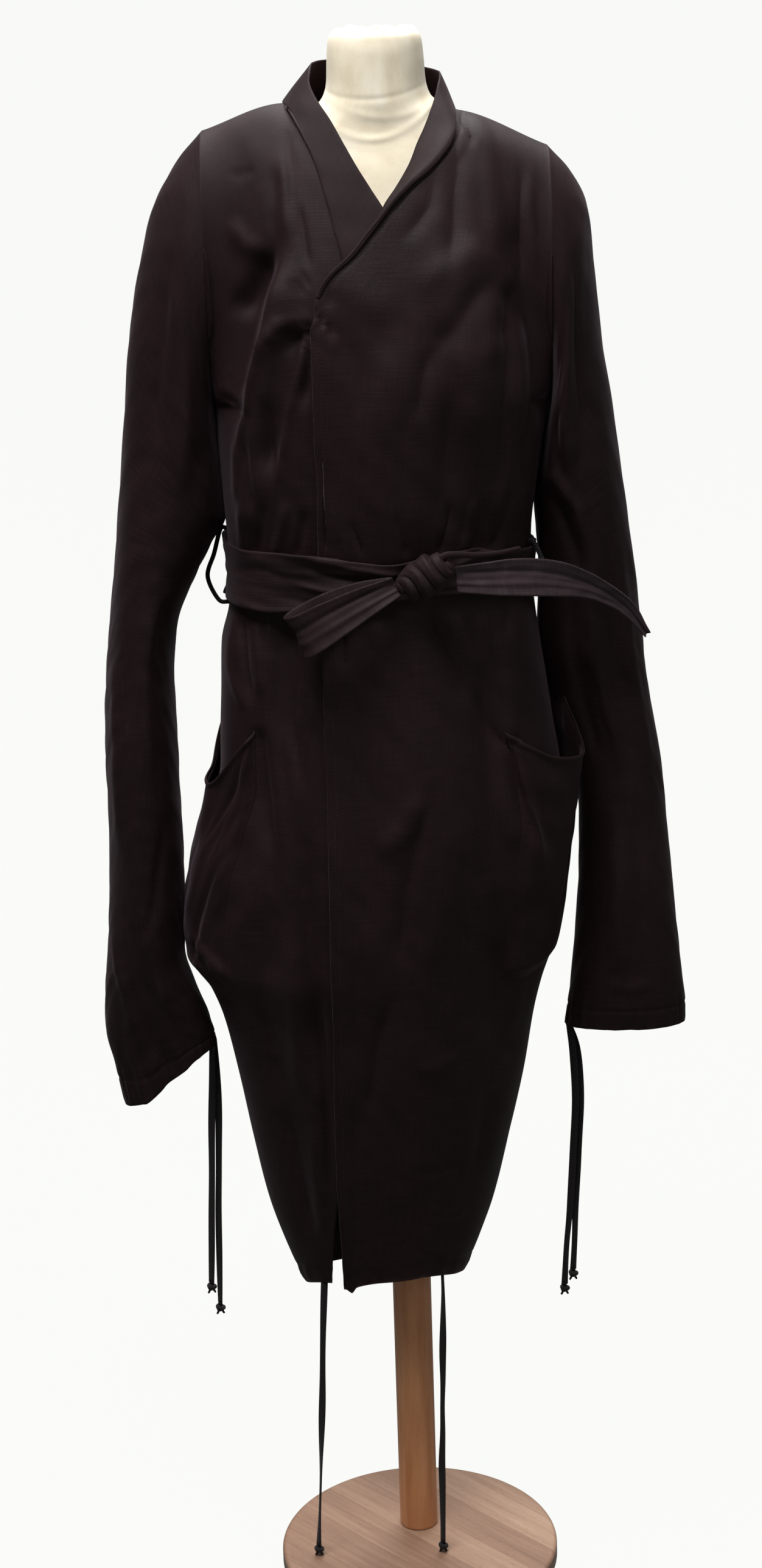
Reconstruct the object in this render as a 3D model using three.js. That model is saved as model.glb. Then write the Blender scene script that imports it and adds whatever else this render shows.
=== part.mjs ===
// Linen wrap coat on a limbless dress form. Millimetres, +Z up, +X to the wearer's left, front at -Y.
// Origin: centre of the underside of the round foot.
import * as THREE from 'three';

// ---- Driving dimensions ----
const CLOTH = 2.0; // cloth wall
const SEAM = 0.3; // gap kept between pieces that meet
const AXIS_Y = 40; // the form's axis and pole stand this far behind the foot's centre

const FOOT_RADIUS = 168;
const FOOT_THICKNESS = 24;
const FOOT_EDGE = 5;
const POLE_RADIUS = 23;
const FORM_BOTTOM = 985;
const FORM_TOP = 1821;

const CHEST_Z = 1440; // height of the underarm seam
const WAIST_Z = 1245; // the body's narrowest section, under the belt
const SHOULDER_RIGHT = { x: -186, z: 1725 }; // wearer's right shoulder tip
const SHOULDER_LEFT = { x: 180, z: 1699 };
const NECK_RIGHT = { x: -98, z: 1751 }; // where the band meets the shoulder line
const NECK_LEFT = { x: 82, z: 1739 };
const NECK_DEPTH = 72; // back neck seam behind the shoulder line
const ARMHOLE_DEPTH = 72; // half the armhole, front to back
const OVERLAP_LIFT = 5.8; // room under the over front for the under front's band
const POCKET_LIFT = { right: 1.5, left: 2.1 }; // room between the coat and a pocket's bag
const BELT_LIFT = 3.5; // room between the coat and the belt
const LAP_LIFT = 1.9; // room under what is sewn on top of a panel
const HEM_CORD = 4.6; // diameter of the drawstrings
const LOOP_CORD = 5; // diameter of the belt carriers
const BACK_NECK_DROP = 5; // the back neck seam dips this far below the shoulder line

// ---- How the surface changes shape ----
const ARM_POWER = 5; // how sharply the shape of the armholes fades towards the middle
const TOP_SQUARE = 2.8; // corner fullness above the chest
const TOP_BLEND = 0.35; // rise above the chest over which the fullness changes
const FOLD_END = 1.6; // a fold fades past its ends over this many half-widths
const FOLD_SIDE_POWER = 8; // folds fade at the side seams
const FOLD_TOP_POWER = 4; // folds fade at the shoulder line
const OVER_FADE = { turn: [0.5, 0.95], row: [1.72, 1.96] }; // the over front comes down to the base surface
const BELT_FADE = [-0.85, -0.45]; // turns over which the belt climbs onto the over front
const POCKET_FADE = [-0.2, 0.2]; // the same for a pocket

// ---- Grid density ----
const UPPER_ROWS = 8;
const BACK_COLUMNS = 18;
const FRONT_COLUMNS = 11;
const SLEEVE_SIDES = 16;
const BELT_COLUMNS = 18;
const BAND_STEPS = 2; // band rows from one row of its table to the next
const CORD_SIDES = 8;
const DRAWSTRING_STEP = 2; // in diameters
const CARRIER_STEP = 1.2;
const NORMAL_STEP = 0.01;

// ---- Coat body: level sections, hem to chest ----
// right, left: x of the side seams; front, back: y of the centre front and centre back
// square: corner fullness
const BODY = [
  { z: 360, right: -126, left: 57, front: -20, back: 88, square: 2.1 },
  { z: 400, right: -142, left: 74, front: -32, back: 93, square: 2.1 },
  { z: 480, right: -167, left: 103, front: -52, back: 104, square: 2.1 },
  { z: 560, right: -182, left: 122, front: -64, back: 113, square: 2.1 },
  { z: 640, right: -195, left: 140, front: -74, back: 120, square: 2.1 },
  { z: 715, right: -210, left: 153, front: -82, back: 127, square: 2.1 },
  { z: 755, right: -224, left: 163, front: -86, back: 131, square: 2.1 },
  { z: 795, right: -247, left: 176, front: -90, back: 136, square: 2.1 },
  { z: 850, right: -246, left: 186, front: -94, back: 140, square: 2.1 },
  { z: 905, right: -236, left: 190, front: -96, back: 143, square: 2.2 },
  { z: 960, right: -218, left: 192, front: -96, back: 144, square: 2.2 },
  { z: 1020, right: -199, left: 185, front: -92, back: 143, square: 2.3 },
  { z: 1065, right: -197, left: 178, front: -89, back: 141, square: 2.3 },
  { z: 1110, right: -194, left: 172, front: -86, back: 138, square: 2.3 },
  { z: 1165, right: -191, left: 164, front: -82, back: 131, square: 2.3 },
  { z: 1205, right: -181, left: 159, front: -78, back: 125, square: 2.3 },
  { z: WAIST_Z, right: -177, left: 156, front: -75, back: 122, square: 2.3 },
  { z: 1285, right: -179, left: 157, front: -78, back: 125, square: 2.3 },
  { z: 1340, right: -182, left: 164, front: -86, back: 133, square: 2.3 },
  { z: 1390, right: -184, left: 172, front: -90, back: 138, square: 2.3 },
  { z: CHEST_Z, right: SHOULDER_RIGHT.x, left: SHOULDER_LEFT.x, front: -92, back: 142, square: 2.3 },
];

// Height of the hem across the body, from the right side seam (-1) to the left one (1)
const HEM = [
  { across: -1, front: 368, back: 368 },
  { across: -0.7, front: 384, back: 367 },
  { across: -0.42, front: 386, back: 367 },
  { across: -0.36, front: 380, back: 368 },
  { across: -0.28, front: 390, back: 368 },
  { across: -0.15, front: 395, back: 368 },
  { across: 0.1, front: 398, back: 369 },
  { across: 0.5, front: 401, back: 371 },
  { across: 0.8, front: 393, back: 374 },
  { across: 1, front: 380, back: 380 },
];

// Edge of the over front (wearer's left): side of the neck, down the wrap, to the hem
const OVER_EDGE = [
  { z: 340, x: -78 },
  { z: 560, x: -81 },
  { z: 790, x: -79 },
  { z: 1010, x: -76 },
  { z: 1300, x: -75 },
  { z: 1420, x: -75 },
  { z: 1531, x: -71 },
  { z: 1563, x: -66 },
  { z: 1610, x: -26 },
  { z: 1652, x: 11 },
  { z: 1674, x: 34 },
  { z: 1698, x: 62 },
  { z: 1722, x: 77 },
  { z: NECK_LEFT.z, x: NECK_LEFT.x },
];

// Edge of the under front (wearer's right), most of it under the over front
const UNDER_EDGE = [
  { z: 340, x: -97 },
  { z: 500, x: -94 },
  { z: 620, x: -91 },
  { z: 720, x: -86 },
  { z: 860, x: -52 },
  { z: 1000, x: -10 },
  { z: 1200, x: 36 },
  { z: 1400, x: 52 },
  { z: 1480, x: 42 },
  { z: 1540, x: 8 },
  { z: 1590, x: -32 },
  { z: 1655, x: -50 },
  { z: 1705, x: -66 },
  { z: 1742, x: -88 },
  { z: NECK_RIGHT.z, x: NECK_RIGHT.x },
];

// Largest folds: a line from one end to the other, its half-width, and its height (troughs below zero)
const FOLDS = [
  { side: -1, x0: -120, z0: 1600, x1: -168, z1: 1450, width: 15, height: -11 },
  { side: -1, x0: -104, z0: 1560, x1: -150, z1: 1330, width: 17, height: 9 },
  { side: -1, x0: -88, z0: 1520, x1: -120, z1: 1400, width: 13, height: -7 },
  { side: -1, x0: 88, z0: 1560, x1: 84, z1: 1500, width: 46, height: 12 },
  { side: -1, x0: -96, z0: 1570, x1: -98, z1: 1520, width: 44, height: 8 },
  { side: -1, x0: 140, z0: 1600, x1: 158, z1: 1450, width: 15, height: -9 },
  { side: -1, x0: 60, z0: 1500, x1: 96, z1: 1290, width: 18, height: -7 },
  { side: -1, x0: 10, z0: 1480, x1: 4, z1: 1290, width: 20, height: 5 },
  { side: -1, x0: -128, z0: 1170, x1: -150, z1: 820, width: 20, height: -9 },
  { side: -1, x0: 100, z0: 1180, x1: 112, z1: 700, width: 24, height: -8 },
  { side: -1, x0: 30, z0: 1180, x1: 20, z1: 560, width: 26, height: 6 },
  { side: -1, x0: -40, z0: 1170, x1: -38, z1: 900, width: 20, height: -5 },
  { side: -1, x0: -150, z0: 720, x1: -120, z1: 480, width: 18, height: -6 },
  { side: 1, x0: 0, z0: 1690, x1: 0, z1: 1290, width: 30, height: -7 },
  { side: 1, x0: -90, z0: 1600, x1: -70, z1: 1290, width: 26, height: 8 },
  { side: 1, x0: 92, z0: 1590, x1: 72, z1: 1290, width: 26, height: 8 },
  { side: 1, x0: -140, z0: 1560, x1: -150, z1: 1420, width: 14, height: -9 },
  { side: 1, x0: 140, z0: 1550, x1: 146, z1: 1420, width: 14, height: -9 },
  { side: 1, x0: -100, z0: 1180, x1: -120, z1: 640, width: 24, height: -9 },
  { side: 1, x0: -20, z0: 1180, x1: -26, z1: 560, width: 24, height: -7 },
  { side: 1, x0: 70, z0: 1180, x1: 74, z1: 620, width: 24, height: -9 },
  { side: 1, x0: 30, z0: 1180, x1: 26, z1: 700, width: 22, height: 7 },
];

// ---- Sleeves: rings from the armhole to the cuff ----
// outerX, outerZ and innerX, innerZ: the ring's points away from and next to the body
// y: the ring's middle; deep: half its depth
const SLEEVE_RIGHT = [
  { outerX: SHOULDER_RIGHT.x - SEAM, outerZ: SHOULDER_RIGHT.z, innerX: SHOULDER_RIGHT.x - SEAM, innerZ: CHEST_Z,
    y: AXIS_Y, deep: ARMHOLE_DEPTH },
  { outerX: -214, outerZ: 1694, innerX: -186.1, innerZ: 1418, y: 40, deep: 74 },
  { outerX: -241, outerZ: 1649, innerX: -185.2, innerZ: 1392, y: 40, deep: 73 },
  { outerX: -257, outerZ: 1595, innerX: -184.2, innerZ: 1366, y: 40, deep: 71 },
  { outerX: -274, outerZ: 1509, innerX: -183.3, innerZ: 1338, y: 40, deep: 69 },
  { outerX: -286, outerZ: 1410, innerX: -183.2, innerZ: 1306, y: 40, deep: 65 },
  { outerX: -297, outerZ: 1325, innerX: -198, innerZ: 1278, y: 40, deep: 63 },
  { outerX: -305, outerZ: 1265, innerX: -216, innerZ: 1244, y: 40, deep: 62 },
  { outerX: -317, outerZ: 1182, innerX: -239, innerZ: 1186, y: 40, deep: 62 },
  { outerX: -323, outerZ: 1125, innerX: -246, innerZ: 1125, y: 40, deep: 62 },
  { outerX: -328, outerZ: 1040, innerX: -247, innerZ: 1040, y: 40, deep: 62 },
  { outerX: -330, outerZ: 950, innerX: -249, innerZ: 950, y: 41, deep: 61 },
  { outerX: -334, outerZ: 860, innerX: -254, innerZ: 860, y: 42, deep: 58 },
  { outerX: -339, outerZ: 800, innerX: -258, innerZ: 800, y: 42, deep: 54 },
  { outerX: -345, outerZ: 755, innerX: -242, innerZ: 750, y: 41, deep: 46 },
  { outerX: -348, outerZ: 700, innerX: -228, innerZ: 716, y: 40, deep: 36 },
  { outerX: -339, outerZ: 649, innerX: -223, innerZ: 694, y: 40, deep: 31 },
  { outerX: -331, outerZ: 603, innerX: -220, innerZ: 678, y: 40, deep: 28 },
];
const SLEEVE_LEFT = [
  { outerX: SHOULDER_LEFT.x + SEAM, outerZ: SHOULDER_LEFT.z, innerX: SHOULDER_LEFT.x + SEAM, innerZ: CHEST_Z,
    y: AXIS_Y, deep: ARMHOLE_DEPTH },
  { outerX: 203, outerZ: 1672, innerX: 179.4, innerZ: 1416, y: 41, deep: 74 },
  { outerX: 221, outerZ: 1634, innerX: 174.1, innerZ: 1390, y: 43, deep: 73 },
  { outerX: 227, outerZ: 1580, innerX: 169.9, innerZ: 1362, y: 45, deep: 72 },
  { outerX: 235, outerZ: 1500, innerX: 165, innerZ: 1330, y: 48, deep: 69 },
  { outerX: 246, outerZ: 1428, innerX: 162.3, innerZ: 1303, y: 51, deep: 65 },
  { outerX: 258, outerZ: 1340, innerX: 162.9, innerZ: 1280, y: 54, deep: 60 },
  { outerX: 268, outerZ: 1263, innerX: 163.6, innerZ: 1242, y: 57, deep: 55 },
  { outerX: 281, outerZ: 1160, innerX: 165.8, innerZ: 1160, y: 62, deep: 50 },
  { outerX: 291, outerZ: 1080, innerX: 188.5, innerZ: 1080, y: 76, deep: 46 },
  { outerX: 302, outerZ: 1006, innerX: 206, innerZ: 1006, y: 80, deep: 45 },
  { outerX: 308, outerZ: 940, innerX: 210, innerZ: 940, y: 78, deep: 46 },
  { outerX: 315, outerZ: 868, innerX: 209, innerZ: 868, y: 71, deep: 46 },
  { outerX: 322, outerZ: 800, innerX: 204, innerZ: 800, y: 67, deep: 43 },
  { outerX: 327, outerZ: 750, innerX: 198, innerZ: 745, y: 64, deep: 37 },
  { outerX: 331, outerZ: 700, innerX: 192, innerZ: 702, y: 61, deep: 32 },
  { outerX: 331, outerZ: 677, innerX: 189, innerZ: 679, y: 60, deep: 29 },
];

// ---- Neckband: rows from the under front, round the back neck, to the over front ----
// seamX, seamZ: the panel's edge; freeX, freeY, freeZ: the band's upper edge
// lies: it lies on the panel there
const BAND = [
  { side: -1, seamX: -22, seamZ: 1574, freeX: 22, freeY: -70, freeZ: 1612, lies: true },
  { side: -1, seamX: -36, seamZ: 1600, freeX: 4, freeY: -58, freeZ: 1648, lies: true },
  { side: -1, seamX: -50, seamZ: 1655, freeX: -22, freeY: -42, freeZ: 1690 },
  { side: -1, seamX: -66, seamZ: 1705, freeX: -49, freeY: -11, freeZ: 1737 },
  { side: -1, seamX: -88, seamZ: 1742, freeX: -69, freeY: 22, freeZ: 1770 },
  { side: 1, seamX: -97, seamZ: 1751, freeX: -67, freeY: 46, freeZ: 1789 },
  { side: 1, seamX: -82, seamZ: 1750, freeX: -57, freeY: 72, freeZ: 1790 },
  { side: 1, seamX: -50, seamZ: 1747, freeX: -36, freeY: 93, freeZ: 1789 },
  { side: 1, seamX: -8, seamZ: 1744, freeX: -4, freeY: 102, freeZ: 1786 },
  { side: 1, seamX: 38, seamZ: 1742, freeX: 30, freeY: 93, freeZ: 1782 },
  { side: 1, seamX: 68, seamZ: 1741, freeX: 56, freeY: 72, freeZ: 1779 },
  { side: 1, seamX: 81, seamZ: 1739, freeX: 67, freeY: 44, freeZ: 1776 },
  { side: -1, seamX: 77, seamZ: 1722, freeX: 60, freeY: 9, freeZ: 1750 },
  { side: -1, seamX: 62, seamZ: 1698, freeX: 42, freeY: -18, freeZ: 1712 },
  { side: -1, seamX: 34, seamZ: 1674, freeX: 25, freeY: -38, freeZ: 1684 },
  { side: -1, seamX: 11, seamZ: 1652, freeX: 5, freeY: -55, freeZ: 1660 },
];
const BAND_LAP = 5; // how far the band lies on the panel below its seam

// ---- Belt: its upper and lower edge across the body ----
const BELT = [
  { across: -1, frontTop: 1286, frontBottom: 1217, backTop: 1286, backBottom: 1217 },
  { across: -0.5, frontTop: 1291, frontBottom: 1226, backTop: 1278, backBottom: 1206 },
  { across: 0, frontTop: 1281, frontBottom: 1236, backTop: 1268, backBottom: 1204 },
  { across: 0.4, frontTop: 1288, frontBottom: 1240, backTop: 1265, backBottom: 1208 },
  { across: 0.8, frontTop: 1280, frontBottom: 1238, backTop: 1265, backBottom: 1217 },
  { across: 1, frontTop: 1270, frontBottom: 1228, backTop: 1270, backBottom: 1228 },
];
const KNOT = { x: 36, y: -107.2, z: 1268, halfX: 32, halfY: 18, halfZ: 26 };
// The bow's loop and tail: middle line of the band, and half its width as a vector
const BOW_LOOP = [
  { x: 4.3, y: -108.5, z: 1258, wideX: -4, wideY: 2, wideZ: 9 },
  { x: -28, y: -117, z: 1245, wideX: -7, wideY: 3, wideZ: 13.5 },
  { x: -65, y: -122, z: 1227, wideX: -10, wideY: 4, wideZ: 17.5 },
  { x: -92, y: -119, z: 1211.5, wideX: -10.5, wideY: 5, wideZ: 20 },
  { x: -103, y: -107, z: 1206, wideX: -10.5, wideY: 3, wideZ: 21.5 },
  { x: -95, y: -96, z: 1212, wideX: -10, wideY: 1, wideZ: 21.5 },
  { x: -64, y: -92, z: 1229, wideX: -9, wideY: 0, wideZ: 19 },
  { x: -30, y: -93, z: 1244, wideX: -7, wideY: 0, wideZ: 15 },
  { x: 3.3, y: -97.9, z: 1255, wideX: -4, wideY: 0, wideZ: 10 },
];
const BOW_TAIL = [
  { x: 69.2, y: -106, z: 1264, wideX: -1.5, wideY: 0, wideZ: 13.5 },
  { x: 103, y: -102, z: 1262.5, wideX: -3, wideY: 1, wideZ: 17 },
  { x: 140, y: -91, z: 1260, wideX: -2, wideY: 2, wideZ: 19.5 },
  { x: 178, y: -70, z: 1251.5, wideX: 1, wideY: 3, wideZ: 18 },
  { x: 212, y: -47, z: 1237, wideX: 3, wideY: 4, wideZ: 12 },
  { x: 240, y: -28, z: 1218, wideX: 4, wideY: 3, wideZ: 8 },
  { x: 262, y: -14, z: 1197, wideX: 4, wideY: 3, wideZ: 5.5 },
  { x: 281, y: -5, z: 1168, wideX: 2, wideY: 1, wideZ: 1.5 },
];
// A belt carrier's loop. down: 0 at the belt's upper edge, 1 at its lower one
// past: how far beyond that; out: how far off the coat
const CARRIER = [
  { down: 0, past: -6, out: 0.6 },
  { down: 0, past: -6, out: 7 },
  { down: 0.3, past: 0, out: 17 },
  { down: 0.72, past: 0, out: 26 },
  { down: 1, past: 8, out: 12 },
  { down: 1, past: 9, out: 0.6 },
];
const CARRIER_RIGHT = -1; // the turns at which the two carriers are sewn on
const CARRIER_LEFT = 0.8;

// ---- Pockets: places round the hip, with the mouth's height and how far it hangs open ----
const POCKET_BOTTOM = 782;
const POCKET_LEVELS = [0, 0.05, 0.24, 0.44, 0.64, 0.82, 1]; // rows of the bag, from its bottom to its mouth
// round: turns from the middle of the front; a side seam is at 1 or -1, and the back begins there
const POCKET_RIGHT = [
  { round: -0.58, rim: 1083, open: 0 },
  { round: -0.7, rim: 1040, open: 13 },
  { round: -0.85, rim: 1008, open: 15 },
  { round: -1, rim: 1014, open: 7 },
  { round: -1.14, rim: 1050, open: 4 },
  { round: -1.26, rim: 1086, open: 0 },
];
const POCKET_LEFT = [
  { round: 0.5, rim: 1078, open: 0 },
  { round: 0.68, rim: 1040, open: 15 },
  { round: 0.84, rim: 1030, open: 27 },
  { round: 0.94, rim: 1036, open: 25 },
  { round: 1, rim: 1080, open: 12 },
  { round: 1.12, rim: 1112, open: 0 },
];

// ---- Drawstrings: each route from its casing down to its knot ----
const CORDS = {
  cuff_cord_right_a: [[-225, 30.5, 673.6], [-227, 33, 640], [-230, 37, 580], [-233, 38, 520], [-236, 39, 460],
    [-239, 40, 400], [-241, 40, 362]],
  cuff_cord_right_b: [[-223.2, 46, 675.3], [-222, 45, 640], [-222, 44, 580], [-225, 43, 520], [-228, 43, 460],
    [-230, 43, 400], [-232, 43, 332]],
  cuff_cord_left_a: [[193.9, 52, 678.5], [198, 54, 640], [200, 56, 580], [197, 56, 510], [193, 57, 440],
    [188, 57, 390], [185, 57, 336]],
  cuff_cord_left_b: [[192.9, 66, 678.2], [204, 65, 640], [207, 64, 580], [204, 64, 510], [200, 63, 440],
    [198, 64, 390], [196, 64, 352]],
  hem_cord_right: [[-104, -9.3, 383.3], [-106, -13, 350], [-109, -17, 290], [-112, -20, 230], [-116, -24, 150],
    [-120, -27, 90], [-123, -28, 37]],
  hem_cord_left: [[36, -23.1, 395.9], [36, -22, 360], [34, -21, 290], [32, -22, 220], [30, -24, 150], [29, -27, 90],
    [28, -29, 37]],
};
// The knot at a drawstring's end: its length below the route, and how much wider than the cord its rings are
const KNOT_LENGTH = 12.2;
const KNOT_WIDE = [1.6, 2, 1.5];

// ---- Dress form: level sections ----
const FORM = [
  { z: FORM_BOTTOM, half: 128, front: 80, back: 76 },
  { z: 996, half: 138, front: 86, back: 82 },
  { z: 1040, half: 146, front: 90, back: 84 },
  { z: 1100, half: 140, front: 84, back: 82 },
  { z: 1180, half: 122, front: 74, back: 72 },
  { z: 1250, half: 110, front: 68, back: 66 },
  { z: 1330, half: 120, front: 76, back: 72 },
  { z: 1440, half: 144, front: 96, back: 82 },
  { z: 1530, half: 156, front: 104, back: 84 },
  { z: 1600, half: 162, front: 90, back: 78 },
  { z: 1650, half: 163, front: 70, back: 64 },
  { z: 1684, half: 160, front: 60, back: 54 },
  { z: 1702, half: 146, front: 54, back: 44 },
  { z: 1714, half: 126, front: 50, back: 41 },
  { z: 1727, half: 98, front: 48, back: 40 },
  { z: 1737, half: 79.4, front: 48, back: 44 },
  { z: 1750, half: 60, front: 49, back: 51 },
  { z: 1768, half: 53, front: 48, back: 49 },
  { z: 1800, half: 51, front: 47, back: 48 },
  { z: 1815, half: 49, front: 45, back: 46 },
  { z: FORM_TOP, half: 38, front: 36, back: 36 },
];

// ---- Reading the tables ----

/** Value of one column of a table at `at`, by a smooth curve through its rows that never overshoots. */
function column(table, by, key, at) {
  const last = table.length - 1;
  if (at <= table[0][by]) return table[0][key];
  if (at >= table[last][by]) return table[last][key];
  let i = 0;
  while (at > table[i + 1][by]) i += 1;
  const secant = (k) => (table[k + 1][key] - table[k][key]) / (table[k + 1][by] - table[k][by]);
  const slope = (k) => {
    if (k === 0) return secant(0);
    if (k === last) return secant(last - 1);
    const before = secant(k - 1);
    const after = secant(k);
    return before * after <= 0 ? 0 : (2 * before * after) / (before + after);
  };
  const span = table[i + 1][by] - table[i][by];
  const t = (at - table[i][by]) / span;
  const a = table[i][key];
  const b = table[i + 1][key];
  const rise = b - a;
  return (
    a + span * slope(i) * t * (1 - t) ** 2 - span * slope(i + 1) * (1 - t) * t ** 2 + rise * t * t * (3 - 2 * t)
  );
}

const smooth = (from, to, at) => {
  const t = Math.min(1, Math.max(0, (at - from) / (to - from)));
  return t * t * (3 - 2 * t);
};
const mix = (a, b, t) => a + (b - a) * t;

/** Place along a table whose rows are numbered 0, 1, 2 ... */
const numbered = (rows) => rows.map((row, index) => ({ ...row, index }));

// ---- The coat's base surface ----
// side: -1 front, 1 back. across: -1 at the right side seam, 1 at the left.
// Rows: 0 hem, 1 chest, 2 shoulder line.

const MIDDLE_X = (SHOULDER_RIGHT.x + SHOULDER_LEFT.x) / 2;
const HALF_X = (SHOULDER_LEFT.x - SHOULDER_RIGHT.x) / 2;
const NECK_X = (NECK_RIGHT.x + NECK_LEFT.x) / 2;
const NECK_HALF = (NECK_LEFT.x - NECK_RIGHT.x) / 2;
const SHOULDER_LINE = [
  { x: SHOULDER_RIGHT.x, z: SHOULDER_RIGHT.z },
  { x: NECK_RIGHT.x, z: NECK_RIGHT.z },
  { x: NECK_LEFT.x, z: NECK_LEFT.z },
  { x: SHOULDER_LEFT.x, z: SHOULDER_LEFT.z },
];

/** Level section at height z: middle and half width in x, and the corner fullness. */
function section(z) {
  const right = column(BODY, 'z', 'right', z);
  const left = column(BODY, 'z', 'left', z);
  return { middle: (left + right) / 2, half: (left - right) / 2, square: column(BODY, 'z', 'square', z) };
}

/** How much of its depth a section has left at `across`. */
const fullness = (across, square) => Math.max(0, 1 - Math.abs(across) ** square) ** (1 / square);

/** The top edge's place above a place of the chest. */
function topEdge(side, across) {
  const x = MIDDLE_X + HALF_X * across;
  const aroundNeck = Math.max(0, 1 - ((x - NECK_X) / NECK_HALF) ** 2);
  const y = side > 0 ? AXIS_Y + NECK_DEPTH * Math.sqrt(aroundNeck) : AXIS_Y;
  const z = column(SHOULDER_LINE, 'x', 'z', x) - (side > 0 ? BACK_NECK_DROP * aroundNeck : 0);
  return { x, y, z };
}

/** Folds at a place of the front or back: their height along the outward normal. */
function foldHeight(side, x, z) {
  let height = 0;
  for (const fold of FOLDS) {
    if (fold.side !== side) continue;
    const dx = fold.x1 - fold.x0;
    const dz = fold.z1 - fold.z0;
    const length = Math.hypot(dx, dz);
    const along = ((x - fold.x0) * dx + (z - fold.z0) * dz) / length;
    const off = ((x - fold.x0) * dz - (z - fold.z0) * dx) / length;
    const past = Math.max(0, -along, along - length);
    height += fold.height * Math.exp(-((off / fold.width) ** 2) - (past / (FOLD_END * fold.width)) ** 2);
  }
  return height;
}

/** Point of the smooth surface, before folds. */
function plainPoint(side, across, row) {
  if (row <= 1) {
    const hem = column(HEM, 'across', side < 0 ? 'front' : 'back', across);
    const z = mix(hem, CHEST_Z, Math.max(0, row));
    const { middle, half, square } = section(z);
    const centre = column(BODY, 'z', side < 0 ? 'front' : 'back', z);
    const y = AXIS_Y + (centre - AXIS_Y) * fullness(across, square);
    return new THREE.Vector3(middle + half * across, y, z);
  }
  const rise = Math.min(1, row - 1);
  const turn = (rise * Math.PI) / 2;
  const top = topEdge(side, across);
  const { square } = section(CHEST_Z);
  const chest = column(BODY, 'z', side < 0 ? 'front' : 'back', CHEST_Z) - AXIS_Y;
  const open = smooth(0, TOP_BLEND, rise);
  const shape = mix(fullness(across, square), 1 - Math.abs(across) ** TOP_SQUARE, open);
  const nearArm = Math.abs(across) ** ARM_POWER;
  const bulge = side * ARMHOLE_DEPTH * Math.sin(2 * turn) * nearArm;
  const y = top.y + (AXIS_Y + chest * shape - top.y) * Math.cos(turn) + bulge;
  const z = CHEST_Z + (top.z - CHEST_Z) * Math.sin(turn) ** (1 + nearArm);
  return new THREE.Vector3(top.x, y, z);
}

/** Outward direction of a surface of two parameters, by small steps inside its limits. */
function normalOf(surface, a, b, limits, outFrom) {
  const [lowA, highA, lowB, highB] = limits;
  const p = surface(Math.max(lowA, a - NORMAL_STEP), b);
  const q = surface(Math.min(highA, a + NORMAL_STEP), b);
  const r = surface(a, Math.max(lowB, b - NORMAL_STEP));
  const s = surface(a, Math.min(highB, b + NORMAL_STEP));
  const normal = q.sub(p).cross(s.sub(r)).normalize();
  return normal.dot(surface(a, b).sub(outFrom)) < 0 ? normal.negate() : normal;
}

/** Point and outward normal of the base surface with its folds. turn: -1 to 1 round the half section. */
function base(side, turn, row) {
  const across = (turns) => Math.sin((turns * Math.PI) / 2);
  const plain = (u, v) => plainPoint(side, across(u), v);
  const inside = new THREE.Vector3(MIDDLE_X, AXIS_Y, Math.min(1400, plain(turn, row).z - 20));
  const limits = [-1, 1, 0, 2];
  const still = normalOf(plain, turn, row, limits, inside);
  const calm = (u, v) =>
    (1 - Math.abs(across(u)) ** FOLD_SIDE_POWER) * (1 - Math.max(0, v - 1) ** FOLD_TOP_POWER);
  const folded = (u, v) => {
    const at = plain(u, v);
    return at.addScaledVector(still, calm(u, v) * foldHeight(side, at.x, at.z));
  };
  return { point: folded(turn, row), normal: normalOf(folded, turn, row, limits, inside) };
}

/** The base surface where x and z are given. */
function baseAt(side, x, z) {
  let turn = 0;
  let row = 1;
  if (z > CHEST_Z) {
    const across = Math.min(1, Math.max(-1, (x - MIDDLE_X) / HALF_X));
    const share = Math.min(1, (z - CHEST_Z) / (topEdge(side, across).z - CHEST_Z));
    turn = (Math.asin(across) * 2) / Math.PI;
    row = 1 + (Math.asin(share ** (1 / (1 + Math.abs(across) ** ARM_POWER))) * 2) / Math.PI;
  } else {
    const { middle, half } = section(z);
    const across = Math.min(1, Math.max(-1, (x - middle) / half));
    const hem = column(HEM, 'across', side < 0 ? 'front' : 'back', across);
    turn = (Math.asin(across) * 2) / Math.PI;
    row = (z - hem) / (CHEST_Z - hem);
  }
  return { ...base(side, turn, row), turn, row };
}

/** The turn at which a row of the front crosses an edge given as x by height. */
function edgeTurn(edge, row) {
  let across = 0;
  for (let pass = 0; pass < 30; pass += 1) {
    const at = plainPoint(-1, across, row);
    const { middle, half } = row <= 1 ? section(at.z) : { middle: MIDDLE_X, half: HALF_X };
    across = mix(across, (column(edge, 'z', 'x', at.z) - middle) / half, 0.7);
  }
  return (Math.asin(Math.min(0.999, Math.max(-0.999, across))) * 2) / Math.PI;
}

/** How far the over front's outer face stands off the base surface. */
function overLift(turn, row) {
  const fade = (1 - smooth(...OVER_FADE.turn, turn)) * (1 - smooth(...OVER_FADE.row, row));
  return (OVERLAP_LIFT + CLOTH) * fade;
}

// ---- Building closed solids from grids of points ----

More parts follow.
